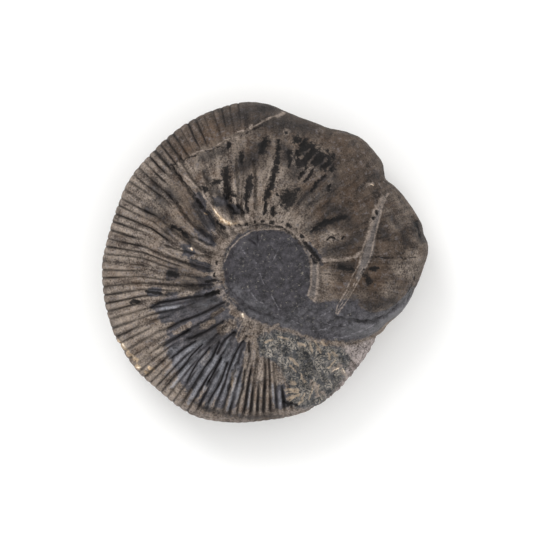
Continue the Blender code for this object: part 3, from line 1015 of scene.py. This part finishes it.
def rib_grooves(surface):
    """(how deep, how dark) the grooves between the ribs are, and each rib's own shade."""
    s = surface
    rim = s.rim + RIB_WANDER * cloud(s.way, *RIB_NOISE)
    width = table_at(GROOVE_WIDTH, s.angle) * (1 + WIDTH_SPREAD * cloud(s.way, *WIDTH_NOISE))
    depth = table_at(GROOVE_DEPTH, s.angle)
    fine, number = furrow(rim, s.radius, range(GROOVES), width)
    foot = START_SPREAD * uneven(number * 3) * scaled(ease(*UNEVEN_FROM, s.angle), *UNEVEN_STARTS)
    foot = table_at(GROOVE_FOOT, s.angle) + foot
    fine = fine * ease(-START_SOFT, START_SOFT, s.share - foot)
    broken = np.clip(1 + BREAKS * cloud(s.way, *BREAK_NOISE), *BREAK_RANGE)
    inner = 1 - ease(*DEEP_END, s.share)
    deep = deep_grooves(s, rim, width, inner)
    sunk = np.maximum(fine * depth * broken, deep * (depth + (DEEP_DEPTH - depth) * inner))
    # The dark in the grooves: dirt, and painted shade in the recess
    dirt_and_shade = np.maximum(fine * broken, deep ** DEEP_DIRT_AND_SHADE * (0.5 + 0.5 * inner)) * table_at(GROOVE_DIRT_AND_SHADE, s.angle)
    shown = ribs_shown(s)
    low_rim = 1 - RIM_WEAR * ease(*RIM_EDGE, s.share)
    return sunk * shown * low_rim, dirt_and_shade * shown, uneven(number * 5) * shown


def blurred(field, columns, rows):
    """The field's mean over this many columns and rows to each side."""
    total = field.copy()
    for step in range(1, columns + 1):
        total += np.roll(field, step, axis=0) + np.roll(field, -step, axis=0)
    padded = np.pad(total / (2 * columns + 1), ((0, 0), (rows, rows)), mode="edge")
    total = sum(padded[:, step:step + field.shape[1]] for step in range(2 * rows + 1))
    return total / (2 * rows + 1)


class Marks:
    """How much of each mark every point has: from 0 or less outside it to 1 in its middle."""

    def __init__(self, surface):
        self.surface = surface
        self.streaks = cloud(surface.way, *STREAK_NOISE)
        self.lumps = cloud(surface.points, *LUMP_NOISE)
        self.grain = cloud(surface.points, *GRAIN_NOISE)
        self.find_plug()
        self.find_suture()
        self.find_grooves()
        self.find_calcite()
        self.find_dark_marks()
        self.find_shell_layer()
        self.find_crust()
        self.find_stains()

    def on_top(self, mask):
        """The mask on the upper flank, and -1 underneath."""
        return mask * self.surface.upper - (1 - self.surface.upper)

    def steady(self, strokes):
        return on_strokes(self.surface.steady, strokes)

    def astray(self, strokes):
        return on_strokes(self.surface.astray, strokes)

    def find_plug(self):
        """The mudstone plug with its apron, their lighter parts, and the scratches on them."""
        s = self.surface
        worn_tip = ease(*TIP_EDGE, s.share) * scaled(cloud(s.points, *TIP_NOISE), *TIP_RAGGED)
        apron = in_patch(s.astray, APRON, PLUG_SOFT) + worn_tip
        self.plug = self.on_top(np.maximum(in_patch(s.astray, PLUG_DISC, PLUG_SOFT), apron))
        sheen = scaled(in_patch(s.astray, APRON, BEVEL_SOFT), *APRON_SHEEN)
        bevel = np.maximum(in_patch(s.astray, BEVEL, BEVEL_SOFT), sheen) + worn_tip
        self.bevel = self.on_top(np.maximum(bevel, scaled(self.astray(SHEENS), *PLUG_SHEEN)))
        self.scratch = self.on_top(scaled(self.steady(SCRATCHES), *SCRATCH_REACH))

    def find_suture(self):
        """The area of the suture's leaves, and the clean strip under the lip."""
        s = self.surface
        self.zone = ease(*SUTURE_EDGE, in_patch(s.astray, SUTURE_ZONE, SUTURE_SOFT)) * s.upper
        self.strip = inside(self.astray(STRIP)) * s.upper
        self.leaf = self.on_top(only_near(self.astray(LEAF_STROKES)))

    def find_grooves(self):
        """The grooves between the ribs and between the slate folds, with the dirt and painted shade in them,
        and the painted highlights on the folds' backs.
        """
        s = self.surface
        sunk, dirt_and_shade, self.rib_shade = [
            field * (1 - SUTURE_WEAR * self.zone) * (1 - self.strip) for field in rib_grooves(s)
        ]
        drawn = inside(self.on_top(self.steady(wider(FOLD_GROOVES, LINE_MORE))))
        self.valleys = inside(self.on_top(self.steady(wider(FOLD_GROOVES, VALLEY_MORE))))
        self.sunk = np.maximum(sunk, LINE_DEPTH * drawn + VALLEY_DEPTH * ease(0, 1, self.valleys))
        dirt_and_shade = np.maximum(dirt_and_shade, LINE_DIRT_AND_SHADE * ease(*LINE_EDGE, drawn))
        dirt_and_shade = dirt_and_shade * (1 - FAINT_GROOVE_SHARE * inside(in_patch(s.astray, FAINT_GROOVE_RIBS, FAINT_GROOVE_SOFT)))
        # Painted highlights on the fold backs, and the lighter grey of the flaked slate
        backs = scaled(self.steady(wider(RIDGE_HIGHLIGHTS, RIDGE_MORE)), *RIDGE_REACH)
        flaked = scaled(in_patch(s.astray, FLAKED, FLAKED_SOFT), *FLAKED_REACH)
        self.ridge_highlight_and_flakes = self.on_top(np.maximum(backs, flaked) - RIDGE_DIRT_AND_SHADE * dirt_and_shade)
        self.cracks = self.on_top(self.astray(CRACKS))
        self.dirt_and_shade = np.maximum(dirt_and_shade, inside(self.cracks) ** 0.5)

    def find_calcite(self):
        """The vein, the pale lines and spots, and the crumbly ring of crust round the plug."""
        s = self.surface
        seam = in_patch(s.steady, SEAM, SEAM_SOFT) - SEAM_SHIFT
        self.vein = self.on_top(np.maximum(in_patch(s.steady, VEIN, VEIN_SOFT), seam))
        self.ring = window(RING_START, RING_END, s.radius) * ease(*RING_OVERLAP, s.past_new) * s.upper
        pale = self.astray(CALCITE_SPOTS + wider(CRUST_PITS, PIT_EDGE))
        pale = np.maximum(self.steady(CALCITE_LINES), pale)
        ring = scaled(self.ring, *RING_REACH) + RING_GRAIN * self.grain * self.ring
        self.pale = self.on_top(only_near(np.maximum(pale, ring)))
        self.ochre = self.on_top(only_near(self.astray(OCHRE_SPOTS)))
        self.glint = self.on_top(only_near(self.steady(GLINTS)))

    def find_dark_marks(self):
        """Black crust, the folds, dark smears with the painted shade of the folds and valleys, and the chips.
        """
        s = self.surface
        soot = in_patches(s.astray, SOOT_PATCHES, SOOT_SOFT)
        soot = np.maximum(self.astray(SOOT_STROKES + CRUST_PITS), soot)
        self.soot = self.on_top(np.minimum(soot, scaled(self.astray(SOOT_GAPS), *SOOT_GAP_REACH)))
        self.folds = inside(self.on_top(self.astray(FOLDS)))
        valley_shade = VALLEY_SHADE * self.valleys * (1 - LIT_SHARE * ease(*LIT_ROWS, s.steady[1]))
        shade = np.maximum(FOLD_SHADE * self.folds, valley_shade) - SHADE_SHIFT
        self.smear_and_shade = self.on_top(np.maximum(self.astray(SMEARS_AND_SHADE), shade))
        self.chips = inside(self.on_top(self.astray(CHIPS)))

    def find_shell_layer(self):
        """The outer shell layer that is left at the top, outside its broken edge."""
        s = self.surface
        outside = s.radius - table_at(SHELL_EDGE, s.angle) + SHELL_RAGGED * cloud(s.points, *LAYER_NOISE)
        layer = ease(-SHELL_STEP, SHELL_STEP, outside) * ease(*SHELL_START, s.angle)
        self.layer = layer * (1 - ease(*SHELL_END, s.angle)) * s.upper

    def find_crust(self):
        """The tan crust, which is worn off to the slate-grey stone in places."""
        s = self.surface
        slate = in_patch(s.astray, SLATE_FOLDS, FOLD_SOFT)
        slate = np.maximum(slate, in_patches(s.astray, SLATE_PATCHES, SLATE_SOFT))
        bare = ease(*CRUST_EDGE, slate + CRUST_STREAKS * self.streaks + CRUST_LUMPS * self.lumps)
        crust = np.maximum(scaled(bare, *CRUST_LOSS), self.astray(TAN_ISLANDS))
        crust = np.maximum(crust, scaled(self.strip, *STRIP_REACH))
        crust = crust + (scaled(self.grain, *SUTURE_CRUST) - crust) * self.zone * (1 - self.strip)
        flat = ease(-REST_DEPTH + FLAT_EDGE, -REST_DEPTH, s.height)
        under = UNDER_CRUST + UNDER_LUMPS * self.lumps + UNDER_STREAKS * self.streaks - FLAT_WEAR * flat
        self.crust = crust * s.upper + under * (1 - s.upper)

    def find_stains(self):
        """The umber, bleached and yellow parts of the crust, and painted shade along the rim."""
        s = self.surface
        umber_and_rim_shade = self.on_top(in_patches(s.astray, UMBER_ZONES, UMBER_SOFT))
        umber_and_rim_shade = np.maximum(umber_and_rim_shade, scaled(self.layer, *LAYER_STAIN))
        windows = in_patches(s.astray, TAN_WINDOWS, WINDOW_SOFT)
        umber_and_rim_shade = np.minimum(umber_and_rim_shade, -windows + UMBER_STREAKS * self.streaks)
        # Painted shade: the rim is darkened where its surface turns away from the light
        rim = RIM_SHADE * ease(*RIM_SHADE_EDGE, s.share) * hump(s.angle - RIM_SHADE_ANGLE, RIM_SHADE_WIDTH)
        self.umber_and_rim_shade = umber_and_rim_shade + rim * s.upper
        bleached = window(BLEACHED_START, BLEACHED_END, s.angle) * ease(*BLEACHED_RADIUS, s.radius)
        bleached = bleached * ease(0, 1, s.past_new)
        pale_rim = PALE_RIM * window(PALE_RIM_START, PALE_RIM_END, s.angle) * ease(*PALE_RIM_EDGE, s.share)
        self.bleached = np.maximum(bleached, pale_rim) * (1 - BLEACHED_SUTURE * self.zone)
        self.yellow = window(YELLOW_START, YELLOW_END, s.angle) * ease(*YELLOW_EDGE, s.share) * s.upper

    def rise(self):
        """How far the surface stands out from the smooth form, in millimetres."""
        s = self.surface
        smooth = np.clip(0.5 + 0.5 * self.plug, 0, 1)
        rough = 1 - PLUG_SMOOTH * smooth
        texture = LUMP_RISE * self.lumps + GRAIN_RISE * self.grain + FINE_RISE * cloud(s.points, *FINE_NOISE)
        crusted = np.clip(self.crust + CRUST_GRAIN * self.grain, 0, CRUST_FULL) / CRUST_FULL
        crumbled = window(CRUMBLED_START, CRUMBLED_END, s.angle) * ease(*CRUMBLED_RIM, s.share)
        rise = -self.sunk + SHELL_LAYER * self.layer
        rise = rise + rough * texture + PLUG_GRAIN * self.grain * smooth
        rise = rise + self.ring * scaled(cloud(s.points, *RING_NOISE), *RING_RISE)
        rise = rise + CRUST_RISE * crusted * rough
        rise = rise + CRUMBLED_RISE * self.grain * crumbled - FOLD_SINK * ease(0, 1, self.folds)
        rise = rise + LEAF_RISE * inside(self.leaf) + SUTURE_GRAIN * self.grain * self.zone
        rise = rise - SOOT_SINK * inside(self.soot) - CRACK_SINK * inside(self.cracks)
        rise = rise - CHIP_SINK * self.chips
        return rise + VEIN_RISE * np.clip(self.vein, 0, VEIN_FULL) / VEIN_FULL + PALE_RISE * inside(self.pale)

    def coats(self, rise):
        """Each coat's mask, for the material."""
        shown = self.zone * (1 - self.strip)
        # How hollow each point is: the material paints shade into the hollows and a highlight onto what
        # stands out
        hollow = (blurred(rise, *HOLLOW_REACH) - rise) / HOLLOW_DEPTH
        shade = SHADE_RIBS * self.rib_shade + SHADE_LUMPS * self.lumps + SHADE_YELLOW * self.yellow
        return {
            "crust": self.crust,
            "umber_and_rim_shade": self.umber_and_rim_shade,
            "bleached": self.bleached * 2 - 1,
            "vein": self.vein,
            "smear_and_shade": self.smear_and_shade,
            "dirt_and_shade": inside(self.dirt_and_shade) * 2 - 1,
            "plug": np.clip(self.plug, -1, 1),
            "bevel": self.bevel,
            "ridge_highlight_and_flakes": self.ridge_highlight_and_flakes,
            "scratch": self.scratch,
            "leaf": self.leaf,
            "inlay": 3 * shown - 2,
            "suture": shown,
            "pale": self.pale,
            "soot": self.soot,
            "ochre": self.ochre,
            "glint": self.glint,
            "hollow": np.clip(hollow, -1, 1),
            "shade": np.clip(shade, *SHADE_RANGE),
        }


def stone_points(surface, rise):
    """The finished surface in millimetres over the floor."""
    points = surface.points + surface.normals() * rise[..., None]
    points = points * (1 + SWELL * cloud(points, *SWELL_NOISE))[..., None]
    floor = -REST_DEPTH + FLOOR_ROUGHNESS * (1 + cloud(points, *FLOOR_NOISE))
    points[..., 2] = larger(points[..., 2], floor, FLOOR_ROUND) + REST_DEPTH
    return points


def kept_in_box(points):
    """The points, moved and shrunk by the little that keeps them inside the box of the part's solid."""
    low, high = np.array(cad_low) / MM + BOX_MARGIN, np.array(cad_high) / MM - BOX_MARGIN
    low[2] = 0
    box_low, box_high = points.min(axis=(0, 1)), points.max(axis=(0, 1))
    shrink = np.minimum(1, (high - low) / (box_high - box_low))
    corner = np.maximum(low, np.minimum(box_low, high - (box_high - box_low) * shrink))
    return (points - box_low) * shrink + corner


def make_stone():
    """Rolls a fine grid up into a closed skin, with its points on the stone's surface, and thins it out."""
    surface = Surface()
    marks = Marks(surface)
    rise = marks.rise()
    coats = marks.coats(rise)
    points = kept_in_box(stone_points(surface, rise))
    points[:, (0, -1)] = points[:, (0, -1)].mean(axis=0)
    columns, rows = surface.rim.shape
    bpy.ops.object.select_all(action="DESELECT")
    bpy.ops.mesh.primitive_grid_add(x_subdivisions=columns, y_subdivisions=rows - 1, size=2, calc_uvs=False)
    stone = bpy.context.object
    stone.name = "river_worn_ammonite"
    mesh = stone.data
    flat = np.empty(len(mesh.vertices) * 3, np.float32)
    mesh.vertices.foreach_get("co", flat)
    flat = flat.reshape(-1, 3)
    column = np.rint((flat[:, 0] + 1) / 2 * columns).astype(int) % columns
    row = np.rint((1 - flat[:, 1]) / 2 * (rows - 1)).astype(int)
    mesh.vertices.foreach_set("co", (points[column, row] * MM).astype(np.float32).ravel())
    for name, field in coats.items():
        values = field[column, row].astype(np.float32)
        mesh.attributes.new(name, "FLOAT", "POINT").data.foreach_set("value", values)
    way = (surface.way[column, row] * MM).astype(np.float32).ravel()
    mesh.attributes.new("way", "FLOAT_VECTOR", "POINT").data.foreach_set("vector", way)
    bpy.ops.object.mode_set(mode="EDIT")
    bpy.ops.mesh.select_all(action="SELECT")
    bpy.ops.mesh.remove_doubles(threshold=MERGE_DISTANCE)
    bpy.ops.mesh.normals_make_consistent(inside=False)
    bpy.ops.mesh.select_all(action="DESELECT")
    bpy.ops.object.mode_set(mode="OBJECT")
    faces = sum(len(face.vertices) - 2 for face in mesh.polygons)
    thin = stone.modifiers.new("fewer_faces", "DECIMATE")
    thin.ratio = TRIANGLES / faces
    bpy.ops.object.modifier_apply(modifier=thin.name)
    bpy.ops.object.shade_smooth()
    return stone


def linear(hex_colour):
    """An sRGB hex colour as linear RGBA."""
    parts = [int(hex_colour[i:i + 2], 16) / 255 for i in (1, 3, 5)]
    return (*[c / 12.92 if c <= 0.04045 else ((c + 0.055) / 1.055) ** 2.4 for c in parts], 1)


def add(tree, kind, inputs, output=0, **settings):
    """Adds a node with these settings, gives its inputs values or links, and returns one of its outputs."""
    node = tree.nodes.new("ShaderNode" + kind)
    for name, value in settings.items():
        setattr(node, name, value)
    for socket, value in inputs.items() if isinstance(inputs, dict) else enumerate(inputs):
        if isinstance(value, bpy.types.NodeSocket):
            tree.links.new(value, node.inputs[socket])
        else:
            node.inputs[socket].default_value = value
    return node.outputs[output]


# Coats from the bottom up, as (mask, ragged edge, softness, share at full, dark colour, light colour,
# roughness, graininess)
COATS = [
    ("crust", 0.70, 0.25, 1.0, "#3c3430", "#8f8378", 0.78, 1.0),
    # Umber stains, and painted shade along the upper rim
    ("umber_and_rim_shade", 0.80, 0.90, 0.96, "#1c1714", "#504339", 0.62, 0.45),
    ("bleached", 0.80, 0.90, 0.80, "#544e4c", "#b9aeac", 0.75, 0.9),
    ("inlay", 0.60, 0.80, 0.88, "#1f2021", "#505152", 0.6, 0.9),
    ("suture", 0.0, 0.5, 1.0, "#5b564f", "#a59d93", 0.7, 0.7),
    ("ochre", 0.90, 0.45, 0.92, "#75604a", "#cdb495", 0.5, 0.8),
    ("leaf", 0.60, 0.35, 0.92, "#6b6056", "#a89884", 0.6, 0.5),
    ("vein", 0.25, 0.35, 0.85, "#3e3a39", "#6f6864", 0.6, 0.6),
    # Painted highlight on the backs of the slate folds, and the real lighter grey of the flaked slate
    ("ridge_highlight_and_flakes", 0.70, 0.70, 0.78, "#4d4e53", "#8c8c91", 0.45, 0.8),
    # Dark smears, and painted shade along the folds, the valleys and edges
    ("smear_and_shade", 0.90, 0.90, 0.85, "#181515", "#2e2a29", 0.6, 0.5),
    # Dirt in the grooves and cracks, and painted shade in the grooves
    ("dirt_and_shade", 0.60, 0.60, 0.90, "#131112", "#2b2829", 0.85, 0.5),
    ("plug", 0.25, 0.25, 1.0, "#171518", "#3e3b40", 0.42, 0.35),
    ("bevel", 0.50, 0.50, 0.80, "#38373a", "#626064", 0.45, 0.5),
    ("scratch", 0.50, 0.50, 0.60, "#58555a", "#8a878c", 0.5, 0.5),
    ("pale", 0.80, 0.55, 0.75, "#574d45", "#978a80", 0.6, 0.8),
    ("soot", 0.90, 0.30, 0.96, "#0a0909", "#1c1919", 0.6, 0.7),
    ("glint", 0.50, 0.40, 1.0, "#a9835c", "#f0e2cc", 0.35, 0.8),
]
# The bare stone under the coats
SLATE = ("#2b2a2c", "#57555a")
SLATE_ROUGHNESS = 0.5
SLATE_GRAIN = 0.4
# Specular level, which is 0.5 for clean glass: fine pits swallow most of the gloss
DULL_GLOSS = 0.16
WORN_GLOSS = 0.28
PLUG_EDGES = (-0.5, 0.5)

# Cloudy patterns, as (size in mm, detail, roughness, low, high). The silt and sand grains of the real stone,
# 0.05 to 0.2 mm, are too fine to show in the render, so the grit and the specks are drawn 0.5 to 1 mm wide.
EDGE_PATTERN = (1.3, 5, 0.75, 0.3, 0.7)
MOTTLE_PATTERN = (2.6, 6, 0.7, 0.34, 0.66)
GRIT_PATTERN = (0.5, 4, 0.7, 0.3, 0.7)
SPECK_PATTERN = (0.9, 4, 0.8, 0.60, 0.67)
PIT_PATTERN = (5.0, 3, 0.6, 0.42, 0.60)
WARM_PATTERN = (6.0, 4, 0.6, 0.48, 0.68)
BARE_PATTERN = (3.0, 2, 0.6, 0.38, 0.60)
# Streaks that follow the ribs, and the plug's own, which run no way
STREAK_SIZE = 1.3
PLUG_STREAK_SIZE = 1.6
STREAK_DETAIL = 5
STREAK_ROUGHNESS = 0.6
STREAK_EDGES = (0.34, 0.66)
# Shares of mottling, streaks and grit in the two tones, and the range that is drawn out from dark to light
CALM = (0.45, 0.35, 0.2, 0.22, 0.78)
GRAINY = (0.32, 0.20, 0.48, 0.30, 0.70)
RIB_TONE = 0.10
# Marks spread less into the hollows, which are also painted darker, as shade, while what stands out is
# painted lighter, partly as wear and partly as painted highlight
HOLLOW_EDGE = -0.2
WEAR_AND_HOLLOW_SHADE = (1.45, 0.65)
# Round pits in clusters: their spacing in mm, their radius as a share of it, and how dark they are
PIT_SPACING = 1.1
PIT_RADIUS = 0.34
PIT_SHARE = 0.75
PIT_COLOUR = "#1f1b1a"
WARM_COLOUR = "#5b4634"
WARM_SHARE = 0.30
WARM_EDGES = (-0.2, 0.3)
SPECK_COLOUR = "#7f7a70"
SPECK_SHARE = 0.8
# Spacing in mm and number of leaves of the suture's fans, large and small
SUTURE_FANS = [(2.9, 7), (1.8, 5)]
# How the leaves are bent, in mm, how ragged they are, and how the fans open, end and fade
LEAF_WAVE = 1.5
LEAF_BEND = 1.1
LEAF_RAGGED = 2.2
LEAF_EDGES = (-0.3, 0.3)
FAN_TURNS = 12.0
FAN_OPENING = (-0.75, -0.2)
FAN_REACH = (0.75, 0.45)
BARE_SHARES = (0.35, 0.95)
# The relief that is too fine for the mesh: its size, its depth in mm and how weak it is on the plug
BUMP_SIZE = 0.6
BUMP_DETAIL = 5
BUMP_ROUGHNESS = 0.75
BUMP_GRIT = 0.3
BUMP_STRENGTH = 0.8
BUMP_DEPTH = 0.22
PLUG_BUMP = 0.35


def patchy(tree, place, size, detail, roughness, low, high, to_low=0.0, to_high=1.0):
    """A cloudy pattern with patches of this size, drawn out between low and high."""
    fog = {"Vector": place, "Scale": 1 / (size * MM), "Detail": detail, "Roughness": roughness}
    return add(tree, "MapRange", (add(tree, "TexNoise", fog, "Fac"), low, high, to_low, to_high))


def stone_tones(tree, place, masks):
    """(a calm tone, a grainy tone), from 0 where the stone is darkest to 1."""
    way = add(tree, "Attribute", {}, "Vector", attribute_name="way")
    on_plug = add(tree, "MapRange", (masks["plug"], *PLUG_EDGES))
    streaks = {"Scale": 1 / (STREAK_SIZE * MM), "Detail": STREAK_DETAIL, "Roughness": STREAK_ROUGHNESS}
    along = add(tree, "TexNoise", {"Vector": way, **streaks}, "Fac")
    streaks["Scale"] = 1 / (PLUG_STREAK_SIZE * MM)
    no_way = add(tree, "TexNoise", {"Vector": place, **streaks}, "Fac")
    streak = add(tree, "Mix", {0: on_plug, 2: along, 3: no_way}, data_type="FLOAT")
    streak = add(tree, "MapRange", (streak, *STREAK_EDGES))
    mottle = patchy(tree, place, *MOTTLE_PATTERN)
    grit = patchy(tree, place, *GRIT_PATTERN)
    tones = []
    for mottled, streaked, gritty, low, high in (CALM, GRAINY):
        tone = add(tree, "Math", (masks["shade"], RIB_TONE), operation="MULTIPLY")
        for pattern, share in ((grit, gritty), (streak, streaked), (mottle, mottled)):
            tone = add(tree, "Math", (pattern, share, tone), operation="MULTIPLY_ADD")
        tones.append(add(tree, "MapRange", (tone, low, high)))
    return tones


def toned(tree, tones, grain_share, dark, light):
    """A colour between dark and light, with this share of the grainy tone in it."""
    tone = add(tree, "Mix", {0: grain_share, 2: tones[0], 3: tones[1]}, data_type="FLOAT")
    return add(tree, "Mix", {0: tone, 6: linear(dark), 7: linear(light)}, 2, data_type="RGBA")


def pits_and_warmth(tree, place, masks, colour):
    """The colour, with clusters of round pits and with warmer patches in the crust."""
    scattered = {"Vector": place, "Scale": 1 / (PIT_SPACING * MM), "Randomness": 1.0}
    away = add(tree, "TexVoronoi", scattered, "Distance")
    pits = add(tree, "MapRange", (away, PIT_RADIUS, PIT_RADIUS / 2))
    clusters = patchy(tree, place, *PIT_PATTERN, 0, PIT_SHARE)
    pits = add(tree, "Math", (pits, clusters), operation="MULTIPLY")
    colour = add(tree, "Mix", {0: pits, 6: colour, 7: linear(PIT_COLOUR)}, 2, data_type="RGBA")
    crusted = add(tree, "MapRange", (masks["crust"], *WARM_EDGES))
    warm = patchy(tree, place, *WARM_PATTERN, 0, WARM_SHARE)
    warm = add(tree, "Math", (crusted, warm), operation="MULTIPLY")
    return add(tree, "Mix", {0: warm, 6: colour, 7: linear(WARM_COLOUR)}, 2, data_type="RGBA")


def specked(tree, place, cover, colour):
    """The colour, with pale specks of silt in the plug."""
    specks = patchy(tree, place, *SPECK_PATTERN, 0, SPECK_SHARE)
    specks = add(tree, "Math", (specks, cover), operation="MULTIPLY")
    return add(tree, "Mix", {0: specks, 6: colour, 7: linear(SPECK_COLOUR)}, 2, data_type="RGBA")


def suture_fan(tree, place, ragged, size, lobes):
    """1 in the leaves of small fans round scattered middles, like an ammonite's suture."""
    wave = add(tree, "TexNoise", {"Vector": place, "Scale": 1 / (LEAF_WAVE * MM)}, "Color")
    wave = add(tree, "VectorMath", {0: wave, 3: LEAF_BEND * MM}, operation="SCALE")
    bent = add(tree, "VectorMath", (place, wave), operation="ADD")
    scattered = {"Vector": bent, "Scale": 1 / (size * MM), "Randomness": 1.0}
    fans = add(tree, "TexVoronoi", scattered, voronoi_dimensions="2D").node.outputs
    away = add(tree, "VectorMath", (bent, fans["Position"]), operation="SUBTRACT")
    away = add(tree, "SeparateXYZ", (away,)).node.outputs
    angle = add(tree, "Math", (away[1], away[0]), operation="ARCTAN2")
    turn = add(tree, "Math", (angle, lobes), operation="MULTIPLY")
    turn = add(tree, "Math", (ragged, LEAF_RAGGED, turn), operation="MULTIPLY_ADD")
    facing = add(tree, "Math", (fans["Color"], FAN_TURNS, angle), operation="MULTIPLY_ADD")
    leaf = patchy(tree, place, *BARE_PATTERN, *BARE_SHARES)
    sides = [
        (add(tree, "Math", (turn,), operation="SINE"), LEAF_EDGES),
        (add(tree, "Math", (facing,), operation="SINE"), FAN_OPENING),
        (fans["Distance"], FAN_REACH),
    ]
    for value, edges in sides:
        within = add(tree, "MapRange", (value, *edges))
        leaf = add(tree, "Math", (leaf, within), operation="MULTIPLY")
    return leaf


def fine_relief(tree, place, masks, grainy):
    """The bump of grit and pits that the mesh is too coarse for."""
    on_plug = add(tree, "MapRange", (masks["plug"], *PLUG_EDGES, 1, PLUG_BUMP))
    fog = {"Vector": place, "Scale": 1 / (BUMP_SIZE * MM), "Detail": BUMP_DETAIL, "Roughness": BUMP_ROUGHNESS}
    height = add(tree, "TexNoise", fog, "Fac")
    height = add(tree, "Math", (grainy, BUMP_GRIT, height), operation="MULTIPLY_ADD")
    height = add(tree, "Math", (height, on_plug), operation="MULTIPLY")
    return add(tree, "Bump", {"Strength": BUMP_STRENGTH, "Distance": BUMP_DEPTH * MM, "Height": height})


def river_worn_limestone():
    """Dark mudstone worn smooth by the river, under what is left of a dull tan limonite crust."""
    material = bpy.data.materials.new("river_worn_limestone")
    material.use_nodes = True
    tree = material.node_tree
    shader = tree.nodes["Principled BSDF"].inputs
    place = add(tree, "TexCoord", {}, "Object")
    names = [coat[0] for coat in COATS] + ["hollow", "shade"]
    masks = {name: add(tree, "Attribute", {}, "Fac", attribute_name=name) for name in names}
    ragged = patchy(tree, place, *EDGE_PATTERN, -1, 1)
    ragged = add(tree, "Math", (masks["hollow"], HOLLOW_EDGE, ragged), operation="MULTIPLY_ADD")
    tones = stone_tones(tree, place, masks)
    colour = toned(tree, tones, SLATE_GRAIN, *SLATE)
    roughness = SLATE_ROUGHNESS
    for name, edge, soft, full, dark, light, rough, grain_share in COATS:
        if name == "vein":
            colour = pits_and_warmth(tree, place, masks, colour)
        if name == "suture":
            fans = [suture_fan(tree, place, ragged, *fan) for fan in SUTURE_FANS]
            leaves = add(tree, "Math", fans, operation="MAXIMUM")
            cover = add(tree, "Math", (masks[name], leaves), operation="MULTIPLY")
        else:
            near = add(tree, "Math", (ragged, edge, masks[name]), operation="MULTIPLY_ADD")
            cover = add(tree, "MapRange", (near, -soft, soft, 0, full))
        coat = toned(tree, tones, grain_share, dark, light)
        colour = add(tree, "Mix", {0: cover, 6: colour, 7: coat}, 2, data_type="RGBA")
        roughness = add(tree, "Mix", {0: cover, 2: roughness, 3: rough}, data_type="FLOAT")
        if name == "plug":
            colour = specked(tree, place, cover, colour)
    # Painted shade and highlight: the colour is darkened in the hollows and lightened where the surface
    # stands out, partly as wear
    wear_and_hollow_shade = add(tree, "MapRange", (masks["hollow"], -1, 1, *WEAR_AND_HOLLOW_SHADE))
    colour = add(tree, "VectorMath", {0: colour, 3: wear_and_hollow_shade}, operation="SCALE")
    gloss = add(tree, "MapRange", (masks["plug"], *PLUG_EDGES, DULL_GLOSS, WORN_GLOSS))
    tree.links.new(colour, shader["Base Color"])
    tree.links.new(roughness, shader["Roughness"])
    tree.links.new(gloss, shader["Specular IOR Level"])
    tree.links.new(fine_relief(tree, place, masks, tones[1]), shader["Normal"])
    return material


def studio_floor():
    """A plain white floor that is wide enough to fill every view."""
    bpy.ops.object.select_all(action="DESELECT")
    bpy.ops.mesh.primitive_plane_add(size=FLOOR_SIZE)
    floor = bpy.context.object
    floor.name = "studio_floor"
    card = bpy.data.materials.new("matt_white_card")
    card.use_nodes = True
    shader = card.node_tree.nodes["Principled BSDF"].inputs
    shader["Base Color"].default_value = linear(CARD_COLOUR)
    shader["Roughness"].default_value = CARD_ROUGHNESS
    floor.data.materials.append(card)


def soft_light(name, place, size, power):
    """A square lamp that faces the stone."""
    lamp = bpy.data.lights.new(name, "AREA")
    lamp.energy = power
    lamp.size = size
    holder = bpy.data.objects.new(name, lamp)
    bpy.context.scene.collection.objects.link(holder)
    holder.location = place
    holder.rotation_euler = (-Vector(place)).to_track_quat("-Z", "Y").to_euler()


def studio_light():
    """Even light from a white tent, with a stronger side at the top left."""
    world = bpy.data.worlds.new("white_tent")
    world.use_nodes = True
    tent = world.node_tree.nodes["Background"].inputs
    tent["Color"].default_value = (1, 1, 1, 1)
    tent["Strength"].default_value = TENT_STRENGTH
    bpy.context.scene.world = world
    soft_light("key_softbox", KEY_PLACE, KEY_SIZE, KEY_POWER)


def photo_camera():
    """Looks straight down, so that the stone's middle plane is at 0.3 mm to a pixel."""
    lens = bpy.data.cameras.new("photo_camera")
    lens.sensor_width = SENSOR_MM
    lens.lens = SENSOR_MM * CAMERA_HEIGHT / (FRAME * PIXEL * MM)
    lens.clip_start, lens.clip_end = CAMERA_CLIP
    camera = bpy.data.objects.new("photo_camera", lens)
    bpy.context.scene.collection.objects.link(camera)
    x = (FRAME / 2 - UMBILICUS[0]) * PIXEL * MM
    y = (UMBILICUS[1] - FRAME / 2) * PIXEL * MM
    camera.location = (x, y, CAMERA_HEIGHT + REST_DEPTH * MM)
    bpy.context.scene.camera = camera


stone = make_stone()
stone.data.materials.append(river_worn_limestone())
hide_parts("ammonite_stone")
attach(stone, "root")
studio_floor()
studio_light()
photo_camera()
bpy.context.scene.view_settings.view_transform = "Standard"
